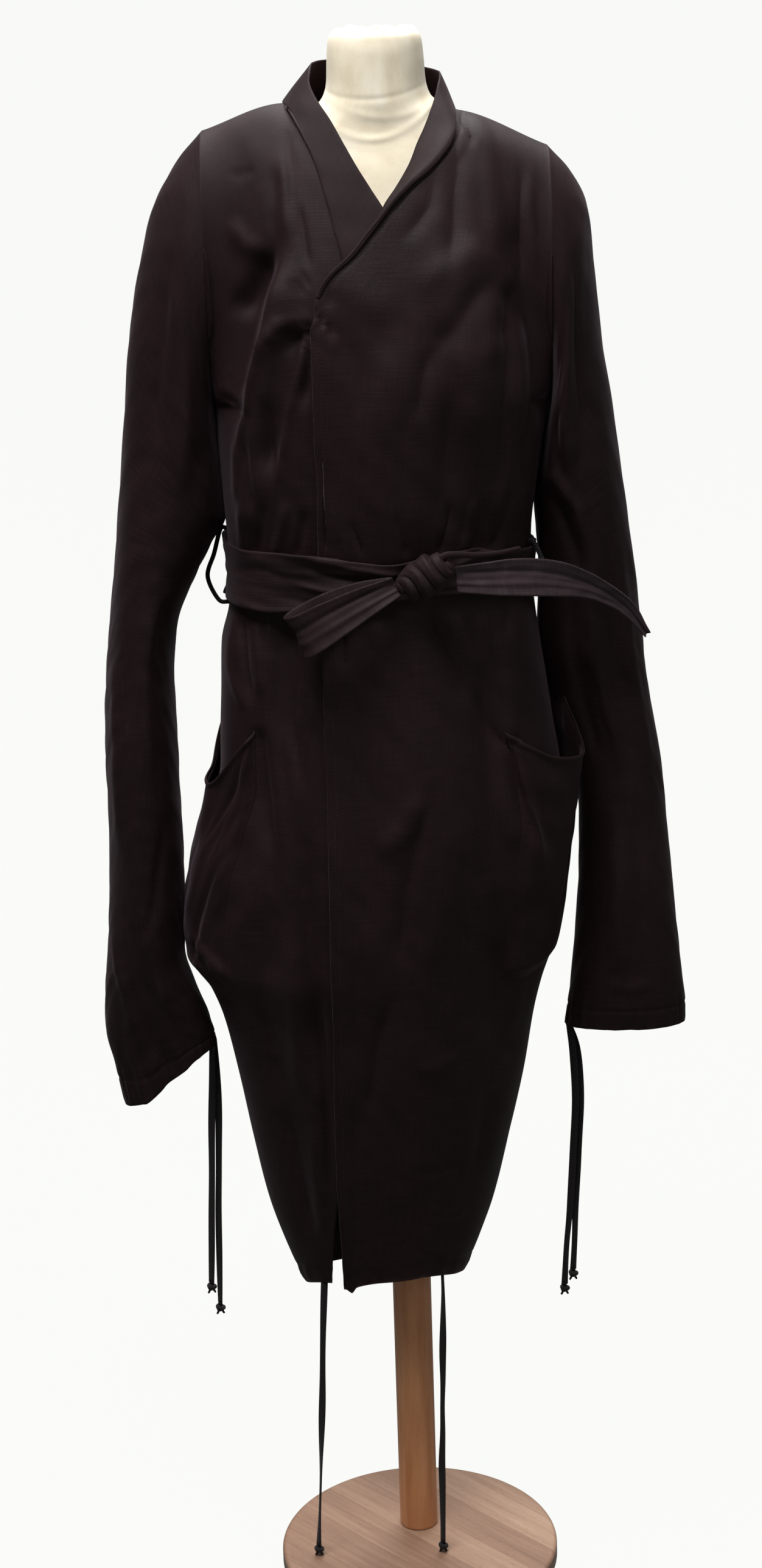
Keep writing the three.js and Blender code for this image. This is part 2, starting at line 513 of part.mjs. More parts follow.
/** Closed solid between two grids [row][column]; `around` joins the last column to the first. */
function wall(inner, outer, around = false) {
  const rows = outer.length;
  const columns = outer[0].length;
  const positions = [];
  for (const grid of [outer, inner]) {
    for (const line of grid) for (const point of line) positions.push(point.x, point.y, point.z);
  }
  const at = (layer, i, j) => layer * rows * columns + i * columns + (j % columns);
  const index = [];
  const quad = (a, b, c, d) => index.push(a, b, c, a, c, d);
  const steps = around ? columns : columns - 1;
  for (let i = 0; i < rows - 1; i += 1) {
    for (let j = 0; j < steps; j += 1) {
      quad(at(0, i, j), at(0, i, j + 1), at(0, i + 1, j + 1), at(0, i + 1, j));
      quad(at(1, i, j), at(1, i + 1, j), at(1, i + 1, j + 1), at(1, i, j + 1));
    }
  }
  for (let j = 0; j < steps; j += 1) {
    quad(at(0, 0, j), at(1, 0, j), at(1, 0, j + 1), at(0, 0, j + 1));
    quad(at(0, rows - 1, j), at(0, rows - 1, j + 1), at(1, rows - 1, j + 1), at(1, rows - 1, j));
  }
  for (let i = 0; i < rows - 1 && !around; i += 1) {
    quad(at(0, i, 0), at(0, i + 1, 0), at(1, i + 1, 0), at(1, i, 0));
    quad(at(0, i, steps), at(1, i, steps), at(1, i + 1, steps), at(0, i + 1, steps));
  }
  return outwards(positions, index);
}

/** Closed solid through level rings, with a flat bottom and top. */
function lofted(rings) {
  const sides = rings[0].length;
  const positions = [];
  for (const ring of rings) for (const point of ring) positions.push(point.x, point.y, point.z);
  const index = [];
  for (let i = 0; i < rings.length - 1; i += 1) {
    for (let j = 0; j < sides; j += 1) {
      const a = i * sides + j;
      const b = i * sides + ((j + 1) % sides);
      index.push(a, b, b + sides, a, b + sides, a + sides);
    }
  }
  for (const [ring, flip] of [[0, true], [rings.length - 1, false]]) {
    for (let j = 1; j < sides - 1; j += 1) {
      const [a, b, c] = [ring * sides, ring * sides + j, ring * sides + j + 1];
      index.push(a, flip ? c : b, flip ? b : c);
    }
  }
  return outwards(positions, index);
}

/** Geometry whose faces point out, whichever way its grid ran. */
function outwards(positions, index) {
  let volume = 0;
  const corner = (k) => new THREE.Vector3(positions[3 * k], positions[3 * k + 1], positions[3 * k + 2]);
  for (let t = 0; t < index.length; t += 3) {
    volume += corner(index[t]).dot(corner(index[t + 1]).cross(corner(index[t + 2])));
  }
  if (volume < 0) {
    for (let t = 0; t < index.length; t += 3) [index[t + 1], index[t + 2]] = [index[t + 2], index[t + 1]];
  }
  const geometry = new THREE.BufferGeometry();
  geometry.setAttribute('position', new THREE.Float32BufferAttribute(positions, 3));
  geometry.setIndex(index);
  geometry.computeVertexNormals();
  return geometry;
}

/** Grid of values from a function of row and column. */
const grid = (rows, columns, make) =>
  Array.from({ length: rows }, (_, i) => Array.from({ length: columns }, (__, j) => make(i, j)));

/** Moves every point of a grid of { point, normal } along its normal. */
const lifted = (cells, by) =>
  cells.map((line) => line.map(({ point, normal }) => point.clone().addScaledVector(normal, by)));

/** Normals of a grid of points, all to the side of `outFrom` that is away from it. */
function withNormals(points, outFrom) {
  const rows = points.length;
  const columns = points[0].length;
  return grid(rows, columns, (i, j) => {
    const along = points[Math.min(rows - 1, i + 1)][j].clone().sub(points[Math.max(0, i - 1)][j]);
    const over = points[i][Math.min(columns - 1, j + 1)].clone().sub(points[i][Math.max(0, j - 1)]);
    const normal = along.cross(over).normalize();
    const away = points[i][j].clone().sub(outFrom(points[i][j]));
    return { point: points[i][j], normal: normal.dot(away) < 0 ? normal.negate() : normal };
  });
}

// ---- Pieces of the coat ----

/** Row numbers from hem to top edge, closer together where the shoulder rounds over. */
const PANEL_ROWS = [
  0,
  ...BODY.slice(1, -1).map((row) => (row.z - HEM[0].back) / (CHEST_Z - HEM[0].back)),
  ...Array.from({ length: UPPER_ROWS + 1 }, (_, i) => 1 + i / UPPER_ROWS),
];
const WAIST_ROW = PANEL_ROWS[BODY.findIndex((row) => row.z === WAIST_Z)];
const SEAM_ROW = 0.0015; // row step that leaves half a seam's gap at the shoulder
const SEAM_SIDE = 0.25; // the same at the side seams, in millimetres

/** Shifts a panel's side and shoulder edges back so that two panels keep a seam's gap. */
function atSeams(side, cell, turn, row) {
  const point = cell.point.clone();
  if (Math.abs(turn) > 0.9995 && row <= 1) point.y += side * SEAM_SIDE;
  if (row > 2 - 2 * SEAM_ROW) point.y += side * SEAM_SIDE;
  return { point, normal: cell.normal };
}

/** A panel's x above the chest, kept between the two armholes. */
function insideArmholes(point) {
  if (point.z < CHEST_Z) return point.x;
  return Math.min(SHOULDER_LEFT.x, Math.max(SHOULDER_RIGHT.x, point.x));
}

/** Numbers of `all` up to `cut`, or from just past it. */
const below = (all, cut) => all.filter((at) => at <= cut);
const above = (all, cut, step) => [cut + step, ...all.filter((at) => at > cut)];

/**
 * A panel from one turn to another, both given by row, with its outer face `lift` off the base surface.
 * rows: the row numbers that it spans.
 */
function panel(rows, side, columns, fromTurn, toTurn, lift) {
  const cells = grid(rows.length, columns + 1, (i, j) => {
    const row = rows[i];
    const turn = mix(fromTurn(row), toTurn(row), j / columns);
    const cell = atSeams(side, base(side, turn, row), turn, row);
    return { point: cell.point.addScaledVector(cell.normal, lift(turn, row)), normal: cell.normal };
  });
  const inner = lifted(cells, -CLOTH);
  const outer = lifted(cells, 0);
  for (const layer of [inner, outer]) {
    for (const line of layer) for (const point of line) point.x = insideArmholes(point);
  }
  return wall(inner, outer);
}

// Each panel is one solid below the waist and one above; the belt covers the gap between them
const SKIRT_ROWS = below(PANEL_ROWS, WAIST_ROW);
const BODICE_ROWS = above(PANEL_ROWS, WAIST_ROW, SEAM / (CHEST_Z - HEM[0].back));
const backPanel = (rows) => panel(rows, 1, BACK_COLUMNS, () => -1, () => 1, () => 0);
const underFront = (rows) => panel(rows, -1, FRONT_COLUMNS, () => -1, (row) => edgeTurn(UNDER_EDGE, row), () => 0);
const overFront = (rows) => panel(rows, -1, FRONT_COLUMNS, (row) => edgeTurn(OVER_EDGE, row), () => 1, overLift);

/** Point of a sleeve: `angle` 0 at its outer side, growing towards the front; `ring` counts the table's rows. */
function sleevePoint(rows, angle, ring) {
  const read = (key) => column(rows, 'index', key, ring);
  const outer = new THREE.Vector3(read('outerX'), 0, read('outerZ'));
  const inner = new THREE.Vector3(read('innerX'), 0, read('innerZ'));
  const middle = outer.clone().add(inner).multiplyScalar(0.5);
  const reach = outer.sub(inner).multiplyScalar(0.5 * Math.cos(angle));
  return middle.add(reach).setY(read('y') - read('deep') * Math.sin(angle));
}

// Ring numbers of a sleeve, and the rings at which its solid is parted
const SLEEVE_RINGS = [0, 0.4, 1, 1.5, 2, 2.5, ...Array.from({ length: SLEEVE_RIGHT.length - 3 }, (_, i) => i + 3)];
const ELBOW_RING = 6;
const WRIST_RING = 12;
const RING_SEAM = 0.006; // ring step that leaves a seam's gap
const SLEEVE_PARTS = {
  upper: below(SLEEVE_RINGS, ELBOW_RING),
  lower: below(above(SLEEVE_RINGS, ELBOW_RING, RING_SEAM), WRIST_RING),
  cuff: above(SLEEVE_RINGS, WRIST_RING, RING_SEAM),
};

/** A stretch of a sleeve: an open tube through the rings at the given places. */
function sleeve(table, places) {
  const rows = numbered(table);
  const last = rows.length - 1;
  const cells = grid(places.length, SLEEVE_SIDES, (i, j) => {
    const angle = (2 * Math.PI * j) / SLEEVE_SIDES;
    const ring = places[i];
    const point = sleevePoint(rows, angle, ring);
    const middle = sleevePoint(rows, 0, ring).add(sleevePoint(rows, Math.PI, ring)).multiplyScalar(0.5);
    const normal = normalOf((a, r) => sleevePoint(rows, a, r), angle, ring, [-9, 9, 0, last], middle);
    if (ring === 0) normal.setX(0).normalize();
    return { point, normal };
  });
  return wall(lifted(cells, -CLOTH), lifted(cells, 0), true);
}

/** The neckband: it laps the panels' edges, then stands round the neck. */
function neckband() {
  const rows = numbered(BAND);
  const parts = BAND_STEPS;
  const points = grid(parts * (rows.length - 1) + 1, 1, (i) => {
    const [near, next] = [rows[Math.floor(i / parts)], rows[Math.ceil(i / parts)]];
    const read = (key) => column(rows, 'index', key, i / parts);
    const side = Math.min(near.side, next.side);
    const across = (read('seamX') - MIDDLE_X) / HALF_X;
    const seam = baseAt(side, read('seamX'), side > 0 ? topEdge(1, across).z : read('seamZ'));
    const onOver = side < 0 && read('seamX') > 0 ? overLift(seam.turn, seam.row) + SEAM : 0;
    const lift = onOver + LAP_LIFT;
    const lying = baseAt(side, read('freeX'), read('freeZ'));
    const free = new THREE.Vector3(read('freeX'), read('freeY'), read('freeZ'));
    free.lerp(lying.point.addScaledVector(lying.normal, lift), near.lies && next.lies ? 1 : 0);
    const edge = seam.point.clone().addScaledVector(seam.normal, lift);
    const downhill = edge.clone().sub(free);
    downhill.addScaledVector(seam.normal, -downhill.dot(seam.normal)).normalize();
    const lap = edge.clone().addScaledVector(downhill, BAND_LAP);
    const foot = edge.clone().addScaledVector(downhill, -1);
    return [lap, foot, foot.clone().lerp(free, 0.5), free];
  }).map(([row]) => row);
  const cells = withNormals(points, (at) => new THREE.Vector3(NECK_X, AXIS_Y, at.z - 25));
  return wall(lifted(cells, 0), lifted(cells, CLOTH));
}

/** The belt round the waist. */
function belt() {
  const places = [
    ...Array.from({ length: BELT_COLUMNS }, (_, i) => ({ side: -1, turn: -1 + (2 * i) / BELT_COLUMNS })),
    ...Array.from({ length: BELT_COLUMNS }, (_, i) => ({ side: 1, turn: 1 - (2 * i) / BELT_COLUMNS })),
  ];
  const cells = grid(3, places.length, (i, j) => {
    const { side, turn } = places[j];
    const across = Math.sin((turn * Math.PI) / 2);
    const half = side < 0 ? 'front' : 'back';
    const low = column(BELT, 'across', half + 'Bottom', across);
    const z = mix(low, column(BELT, 'across', half + 'Top', across), i / 2);
    const { middle, half: halfWidth } = section(z);
    const { point, normal, row } = baseAt(side, middle + halfWidth * across, z);
    const overUnder = side < 0 ? smooth(...BELT_FADE, turn) * overLift(turn, row) : 0;
    return { point: point.addScaledVector(normal, BELT_LIFT + overUnder), normal };
  });
  return wall(lifted(cells, 0), lifted(cells, CLOTH), true);
}

/** A pocket's bag, lying `rest` off the body and hanging open at its mouth. */
function pocket(table, rest) {
  const rows = numbered(table);
  const columns = 2 * (rows.length - 1) + 1;
  const cells = grid(POCKET_LEVELS.length, columns, (i, j) => {
    const at = j / 2;
    const round = mix(rows[Math.floor(at)].round, rows[Math.ceil(at)].round, at - Math.floor(at));
    const side = Math.abs(round) <= 1 ? -1 : 1;
    const turn = side < 0 ? round : 2 * Math.sign(round) - round;
    const rim = column(rows, 'index', 'rim', at);
    const open = column(rows, 'index', 'open', at);
    const z = mix(POCKET_BOTTOM, rim, POCKET_LEVELS[i]);
    const { middle, half } = section(z);
    const { point, normal, row } = baseAt(side, middle + half * Math.sin((turn * Math.PI) / 2), z);
    const under = side < 0 ? smooth(...POCKET_FADE, turn) * overLift(turn, row) : 0;
    const lift = under + rest + open * POCKET_LEVELS[i] ** 3;
    return { point: point.addScaledVector(normal, lift), normal };
  });
  return wall(lifted(cells, 0), lifted(cells, CLOTH));
}

/** A flat band along a middle line, with its width given as a vector at each row. */
function ribbon(table) {
  const points = table.map((row) => {
    const middle = new THREE.Vector3(row.x, row.y, row.z);
    const wide = new THREE.Vector3(row.wideX, row.wideY, row.wideZ);
    return [-1, 0, 1].map((edge) => middle.clone().addScaledVector(wide, edge));
  });
  const rows = points.length;
  const cells = grid(rows, 3, (i, j) => {
    const along = points[Math.min(rows - 1, i + 1)][j].clone().sub(points[Math.max(0, i - 1)][j]);
    const over = points[i][2].clone().sub(points[i][0]);
    return { point: points[i][j], normal: along.cross(over).normalize() };
  });
  return wall(lifted(cells, -CLOTH / 2), lifted(cells, CLOTH / 2));
}

/** The belt's knot: a rounded lump with the band wrapped across it. */
function knot() {
  const geometry = new THREE.SphereGeometry(1, 16, 10);
  const position = geometry.attributes.position;
  for (let i = 0; i < position.count; i += 1) {
    const at = new THREE.Vector3().fromBufferAttribute(position, i);
    const wrap = 1 + 0.07 * Math.cos(5 * (at.x + 0.5 * at.z));
    position.setXYZ(i, at.x * KNOT.halfX * wrap, at.y * KNOT.halfY, at.z * KNOT.halfZ * wrap);
  }
  return geometry;
}

/**
 * Round cord along a smooth curve through the given points, with a step every `step` diameters.
 * wide: how much wider its last rings are, down to its end.
 */
function cord(points, diameter, step, wide = []) {
  const path = new THREE.CatmullRomCurve3(points.map((p) => new THREE.Vector3(...p)));
  const steps = Math.round(path.getLength() / (step * diameter));
  const outline = Array.from({ length: CORD_SIDES }, (_, i) => {
    const angle = (2 * Math.PI * i) / CORD_SIDES;
    return new THREE.Vector2((diameter / 2) * Math.cos(angle), (diameter / 2) * Math.sin(angle));
  });
  const options = { steps, extrudePath: path, bevelEnabled: false };
  const geometry = new THREE.ExtrudeGeometry(new THREE.Shape(outline), options);
  const position = geometry.attributes.position;
  wide.forEach((by, back) => {
    const middle = path.getPointAt((steps - wide.length + 1 + back) / steps);
    for (let i = 0; i < position.count; i += 1) {
      const reach = new THREE.Vector3().fromBufferAttribute(position, i).sub(middle);
      if (reach.length() > 0.6 * diameter) continue;
      position.setXYZ(i, ...middle.clone().addScaledVector(reach, by).toArray());
    }
  });
  return geometry;
}

/** A drawstring: a cord that ends in a knot. */
function drawstring(route) {
  const [x, y, z] = route[route.length - 1];
  return cord([...route, [x, y, z - KNOT_LENGTH]], HEM_CORD, DRAWSTRING_STEP, KNOT_WIDE);
}

/** A belt carrier: a loop of cord from the coat above the belt to the coat below it. */
function carrier(turn) {
  const across = Math.sin((turn * Math.PI) / 2);
  const top = column(BELT, 'across', 'frontTop', across);
  const bottom = column(BELT, 'across', 'frontBottom', across);
  const route = CARRIER.map(({ down, past, out }) => {
    const z = mix(top, bottom, down) - past;
    const { middle, half } = section(z);
    const { point, normal, row } = baseAt(-1, middle + half * across, z);
    return point.addScaledVector(normal, out + (turn > 0 ? overLift(turn, row) : 0)).toArray();
  });
  return cord(route, LOOP_CORD, CARRIER_STEP);
}

// ---- Dress form and stand ----

/** Rounded level ring of the dress form. */
function formRing({ z, half, front, back }) {
  const sides = 28;
  return Array.from({ length: sides }, (_, i) => {
    const angle = (2 * Math.PI * i) / sides;
    const deep = Math.sin(angle) < 0 ? front : back;
    return new THREE.Vector3(half * Math.cos(angle), AXIS_Y + deep * Math.sin(angle), z);
  });
}

const dressForm = () => lofted(FORM.map(formRing));

/** Turned wooden foot with eased edges. */
function foot() {
  const outline = [
    [0, 0], [FOOT_RADIUS - FOOT_EDGE, 0], [FOOT_RADIUS, FOOT_EDGE], [FOOT_RADIUS, FOOT_THICKNESS - FOOT_EDGE],
    [FOOT_RADIUS - FOOT_EDGE, FOOT_THICKNESS], [0, FOOT_THICKNESS],
  ];
  const lathe = new THREE.LatheGeometry(outline.map(([r, z]) => new THREE.Vector2(r, z)), 48);
  return lathe.rotateX(Math.PI / 2);
}

function pole() {
  const low = FOOT_THICKNESS + SEAM;
  const high = FORM_BOTTOM - SEAM;
  const cylinder = new THREE.CylinderGeometry(POLE_RADIUS, POLE_RADIUS, high - low, 24);
  return cylinder.rotateX(Math.PI / 2).translate(0, AXIS_Y, (low + high) / 2);
}

// ---- The part ----

const linen = () => new THREE.MeshStandardMaterial({ color: 0x2e262b, roughness: 0.85, metalness: 0 });
const jersey = () => new THREE.MeshStandardMaterial({ color: 0xe9dcc0, roughness: 0.9, metalness: 0 });
const beech = () => new THREE.MeshStandardMaterial({ color: 0xb88b63, roughness: 0.5, metalness: 0 });
const string = () => new THREE.MeshStandardMaterial({ color: 0x17130f, roughness: 0.9, metalness: 0 });

const part = new THREE.Group();
function add(name, geometry, material) {
  const mesh = new THREE.Mesh(geometry, material);
  mesh.name = name;
  part.add(mesh);
  return mesh;
}

add('foot', foot(), beech());
add('pole', pole(), beech());
add('dress_form', dressForm(), jersey());
for (const [stretch, rows] of [['skirt', SKIRT_ROWS], ['bodice', BODICE_ROWS]]) {
  add(`back_${stretch}`, backPanel(rows), linen());
  add(`front_right_under_${stretch}`, underFront(rows), linen());
  add(`front_left_over_${stretch}`, overFront(rows), linen());
}
for (const [stretch, rings] of Object.entries(SLEEVE_PARTS)) {
  add(`sleeve_right_${stretch}`, sleeve(SLEEVE_RIGHT, rings), linen());
  add(`sleeve_left_${stretch}`, sleeve(SLEEVE_LEFT, rings), linen());
}
add('neckband', neckband(), linen());
add('pocket_right', pocket(POCKET_RIGHT, POCKET_LIFT.right), linen());
add('pocket_left', pocket(POCKET_LEFT, POCKET_LIFT.left), linen());
add('belt', belt(), linen());
add('belt_knot', knot(), linen()).position.set(KNOT.x, KNOT.y, KNOT.z);
add('belt_bow_loop', ribbon(BOW_LOOP), linen());
add('belt_tail', ribbon(BOW_TAIL), linen());
add('belt_carrier_right', carrier(CARRIER_RIGHT), string());
add('belt_carrier_left', carrier(CARRIER_LEFT), string());
for (const [name, route] of Object.entries(CORDS)) add(name, drawstring(route), string());

export default part;
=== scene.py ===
"""Linen wrap coat, tied at the waist with a half bow, on a limbless dress form with a pole and a round foot.

Tables and sizes are in millimetres and a mesh gets metres. +Z is up, +X is the wearer's left and the front is at -Y.
The origin is the centre of the underside of the round foot.
"""

import logging
import math
from collections.abc import Callable, Sequence
from dataclasses import dataclass, field
from enum import Enum, IntEnum

import bpy
import numpy as np
from mathutils import Matrix


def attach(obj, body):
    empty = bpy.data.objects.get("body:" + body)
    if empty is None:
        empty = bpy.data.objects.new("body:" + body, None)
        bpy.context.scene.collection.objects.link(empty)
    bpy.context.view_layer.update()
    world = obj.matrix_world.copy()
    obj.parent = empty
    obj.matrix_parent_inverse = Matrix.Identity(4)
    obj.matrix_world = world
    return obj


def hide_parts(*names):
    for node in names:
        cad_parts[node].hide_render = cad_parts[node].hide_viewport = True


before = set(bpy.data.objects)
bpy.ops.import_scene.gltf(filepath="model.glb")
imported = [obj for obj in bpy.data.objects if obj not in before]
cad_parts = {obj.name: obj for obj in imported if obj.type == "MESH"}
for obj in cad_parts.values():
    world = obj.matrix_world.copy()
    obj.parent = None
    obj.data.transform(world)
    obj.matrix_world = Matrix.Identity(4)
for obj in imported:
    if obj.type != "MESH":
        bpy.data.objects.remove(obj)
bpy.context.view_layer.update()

Array = np.ndarray
LOG = logging.getLogger("coat")
MM = 0.001
HALF_TURN = math.pi / 2


class Side(IntEnum):
    """The two halves of the coat's body."""

    FRONT = -1
    BACK = 1


class Held(Enum):
    """At which ends a crease keeps its full height, because a seam or a tack holds it there."""

    NOWHERE = (0.0, 0.0)
    START = (1.0, 0.0)
    END = (0.0, 1.0)


NOWHERE, START, END = Held


# ---- Tables of sizes ----


class Table:
    """Named columns of numbers, read by a smooth curve through the rows that never overshoots."""

    def __init__(self, names: str, *rows: Sequence[float]) -> None:
        """Keeps the columns.

        Args:
            names: the columns' names; the first one counts up and is what the others are read by.
            rows: one row of numbers each.
        """
        self.names = names.split()
        self.values = dict(zip(self.names, np.array(rows, float).T))
        self.by = self.values[self.names[0]]

    def read(self, name: str, at: Array | float) -> Array:
        """Value of a column: cubic pieces whose slope at a row is the harmonic mean of its two secants.

        Args:
            name: the column.
            at: places in the first column; outside the rows the end values hold.

        Returns:
            The values, in the shape of `at`.
        """
        y, x = self.values[name], self.by
        secant = np.diff(y) / np.diff(x)
        product = secant[:-1] * secant[1:]
        total = np.where(product > 0, secant[:-1] + secant[1:], 1.0)
        inner = np.where(product > 0, 2 * product / total, 0.0)
        slope = np.concatenate(([secant[0]], inner, [secant[-1]]))
        at = np.clip(np.asarray(at, float), x[0], x[-1])
        i = np.clip(np.searchsorted(x, at, side="right") - 1, 0, len(x) - 2)
        span = x[i + 1] - x[i]
        t = (at - x[i]) / span
        ends = span * (slope[i] * t * (1 - t) ** 2 - slope[i + 1] * (1 - t) * t**2)
        return y[i] + ends + (y[i + 1] - y[i]) * t * t * (3 - 2 * t)

def numbered(names: str, *rows: Sequence[float]) -> Table:
    """Table whose rows are read by their number."""
    return Table("row " + names, *[(i, *row) for i, row in enumerate(rows)])


AXIS_Y = 40.0
CHEST_Z = 1440.0
SHOULDER_RIGHT = (-186.0, 1725.0)
SHOULDER_LEFT = (180.0, 1699.0)
NECK_RIGHT = (-98.0, 1751.0)
NECK_LEFT = (82.0, 1739.0)
NECK_DEPTH = 72.0
BACK_NECK_DROP = 5.0
ARMHOLE_DEPTH = 72.0
ARM_POWER = 5
TOP_SQUARE = 2.8
TOP_BLEND = 0.35
CLOTH = 2.0
OVERLAP_LIFT = 5.8
BELT_LIFT = 3.5
LAP_LIFT = 2.0
SEAM = 0.3

BODY = Table(
    "z right left front back square",
    (360, -126, 57, -20, 88, 2.1),
    (400, -142, 74, -32, 93, 2.1),
    (480, -167, 103, -52, 104, 2.1),
    (560, -182, 122, -64, 113, 2.1),
    (640, -195, 140, -74, 120, 2.1),
    (715, -210, 153, -82, 127, 2.1),
    (755, -224, 163, -86, 131, 2.1),
    (795, -247, 176, -90, 136, 2.1),
    (850, -246, 186, -94, 140, 2.1),
    (905, -236, 190, -96, 143, 2.2),
    (960, -218, 192, -96, 144, 2.2),
    (1020, -199, 185, -92, 143, 2.3),
    (1065, -197, 178, -89, 141, 2.3),
    (1110, -194, 172, -86, 138, 2.3),
    (1165, -191, 164, -82, 131, 2.3),
    (1205, -181, 159, -78, 125, 2.3),
    (1245, -177, 156, -75, 122, 2.3),
    (1285, -179, 157, -78, 125, 2.3),
    (1340, -182, 164, -86, 133, 2.3),
    (1390, -184, 172, -90, 138, 2.3),
    (CHEST_Z, SHOULDER_RIGHT[0], SHOULDER_LEFT[0], -92, 142, 2.3),
)
HEM = Table(
    "across front back",
    (-1, 368, 368),
    (-0.7, 384, 367),
    (-0.42, 386, 367),
    (-0.36, 380, 368),
    (-0.28, 390, 368),
    (-0.15, 395, 368),
    (0.1, 398, 369),
    (0.5, 401, 371),
    (0.8, 393, 374),
    (1, 380, 380),
)
OVER_EDGE = Table(
    "z x",
    (340, -78),
    (560, -81),
    (790, -79),
    (1010, -76),
    (1300, -75),
    (1420, -75),
    (1531, -71),
    (1563, -66),
    (1610, -26),
    (1652, 11),
    (1674, 34),
    (1698, 62),
    (1722, 77),
    (NECK_LEFT[1], NECK_LEFT[0]),
)
UNDER_EDGE = Table(
    "z x",
    (340, -97),
    (440, -92),
    (520, -82),
    (600, -72),
    (720, -64),
    (860, -50),
    (1000, -10),
    (1200, 36),
    (1400, 52),
    (1480, 42),
    (1540, 8),
    (1590, -32),
    (1655, -50),
    (1705, -66),
    (1742, -88),
    (NECK_RIGHT[1], NECK_RIGHT[0]),
)
SHOULDER_LINE = Table("x z", SHOULDER_RIGHT, NECK_RIGHT, NECK_LEFT, SHOULDER_LEFT)
MIDDLE_X = (SHOULDER_RIGHT[0] + SHOULDER_LEFT[0]) / 2
HALF_X = (SHOULDER_LEFT[0] - SHOULDER_RIGHT[0]) / 2
NECK_X = (NECK_RIGHT[0] + NECK_LEFT[0]) / 2
NECK_HALF = (NECK_LEFT[0] - NECK_RIGHT[0]) / 2

# Rings from the armhole to the cuff: points away from the body and next to it, then middle y and half depth
SLEEVE_RIGHT = numbered(
    "outer_x outer_z inner_x inner_z y deep",
    (SHOULDER_RIGHT[0] - SEAM, SHOULDER_RIGHT[1], SHOULDER_RIGHT[0] - SEAM, CHEST_Z, AXIS_Y, ARMHOLE_DEPTH),
    (-214, 1694, -186.1, 1418, 40, 74),
    (-241, 1649, -185.2, 1392, 40, 73),
    (-257, 1595, -184.2, 1366, 40, 71),
    (-274, 1509, -183.3, 1338, 40, 69),
    (-286, 1410, -183.2, 1306, 40, 65),
    (-297, 1325, -198, 1278, 40, 63),
    (-305, 1265, -216, 1244, 40, 62),
    (-317, 1182, -239, 1186, 40, 62),
    (-323, 1125, -246, 1125, 40, 62),
    (-328, 1040, -247, 1040, 40, 62),
    (-330, 950, -249, 950, 41, 61),
    (-334, 860, -254, 860, 42, 58),
    (-339, 800, -258, 800, 42, 54),
    (-345, 755, -242, 750, 41, 46),
    (-348, 700, -228, 716, 40, 36),
    (-339, 649, -223, 694, 40, 31),
    (-331, 603, -220, 678, 40, 28),
)
SLEEVE_LEFT = numbered(
    "outer_x outer_z inner_x inner_z y deep",
    (SHOULDER_LEFT[0] + SEAM, SHOULDER_LEFT[1], SHOULDER_LEFT[0] + SEAM, CHEST_Z, AXIS_Y, ARMHOLE_DEPTH),
    (203, 1672, 179.4, 1416, 41, 74),
    (221, 1634, 174.1, 1390, 43, 73),
    (227, 1580, 169.9, 1362, 45, 72),
    (235, 1500, 165, 1330, 48, 69),
    (246, 1428, 162.3, 1303, 51, 65),
    (258, 1340, 162.9, 1280, 54, 60),
    (268, 1263, 163.6, 1242, 57, 55),
    (281, 1160, 165.8, 1160, 62, 50),
    (291, 1080, 188.5, 1080, 76, 46),
    (302, 1006, 206, 1006, 80, 45),
    (308, 940, 210, 940, 78, 46),
    (315, 868, 209, 868, 71, 46),
    (322, 800, 204, 800, 67, 43),
    (327, 750, 198, 745, 64, 37),
    (331, 700, 192, 702, 61, 32),
    (331, 677, 189, 679, 60, 29),
)
# Rows from the under front, round the back neck, to the over front. lies: the band lies on the panel there
BAND = numbered(
    "side seam_x seam_z free_x free_y free_z lies",
    (-1, -22, 1574, 22, -70, 1612, 1),
    (-1, -36, 1600, 4, -58, 1648, 1),
    (-1, -50, 1655, -22, -42, 1690, 0),
    (-1, -66, 1705, -49, -11, 1737, 0),
    (-1, -88, 1742, -69, 22, 1770, 0),
    (1, -97, 1751, -67, 46, 1789, 0),
    (1, -82, 1750, -57, 72, 1790, 0),
    (1, -50, 1747, -36, 93, 1789, 0),
    (1, -8, 1744, -4, 102, 1786, 0),
    (1, 38, 1742, 30, 93, 1782, 0),
    (1, 68, 1741, 56, 72, 1779, 0),
    (1, 81, 1739, 67, 44, 1776, 0),
    (-1, 77, 1722, 60, 9, 1750, 0),
    (-1, 62, 1698, 42, -18, 1712, 0),
    (-1, 34, 1674, 25, -38, 1684, 0),
    (-1, 11, 1652, 5, -55, 1660, 0),
)
BAND_LAP = 5.0
BELT = Table(
    "across front_top front_bottom back_top back_bottom",
    (-1, 1286, 1217, 1286, 1217),
    (-0.5, 1291, 1226, 1278, 1206),
    (0, 1281, 1236, 1268, 1204),
    (0.4, 1288, 1240, 1265, 1208),
    (0.8, 1280, 1238, 1265, 1217),
    (1, 1270, 1228, 1270, 1228),
)
BOW_LOOP = numbered(
    "x y z wide_x wide_y wide_z",
    (4.3, -108.5, 1258, -4, 2, 9),
    (-28, -117, 1245, -7, 3, 13.5),
    (-65, -122, 1227, -10, 4, 17.5),
    (-92, -119, 1211.5, -10.5, 5, 20),
    (-103, -107, 1206, -10.5, 3, 21.5),
    (-95, -96, 1212, -10, 1, 21.5),
    (-64, -92, 1229, -9, 0, 19),
    (-30, -93, 1244, -7, 0, 15),
    (3.3, -97.9, 1255, -4, 0, 10),
)
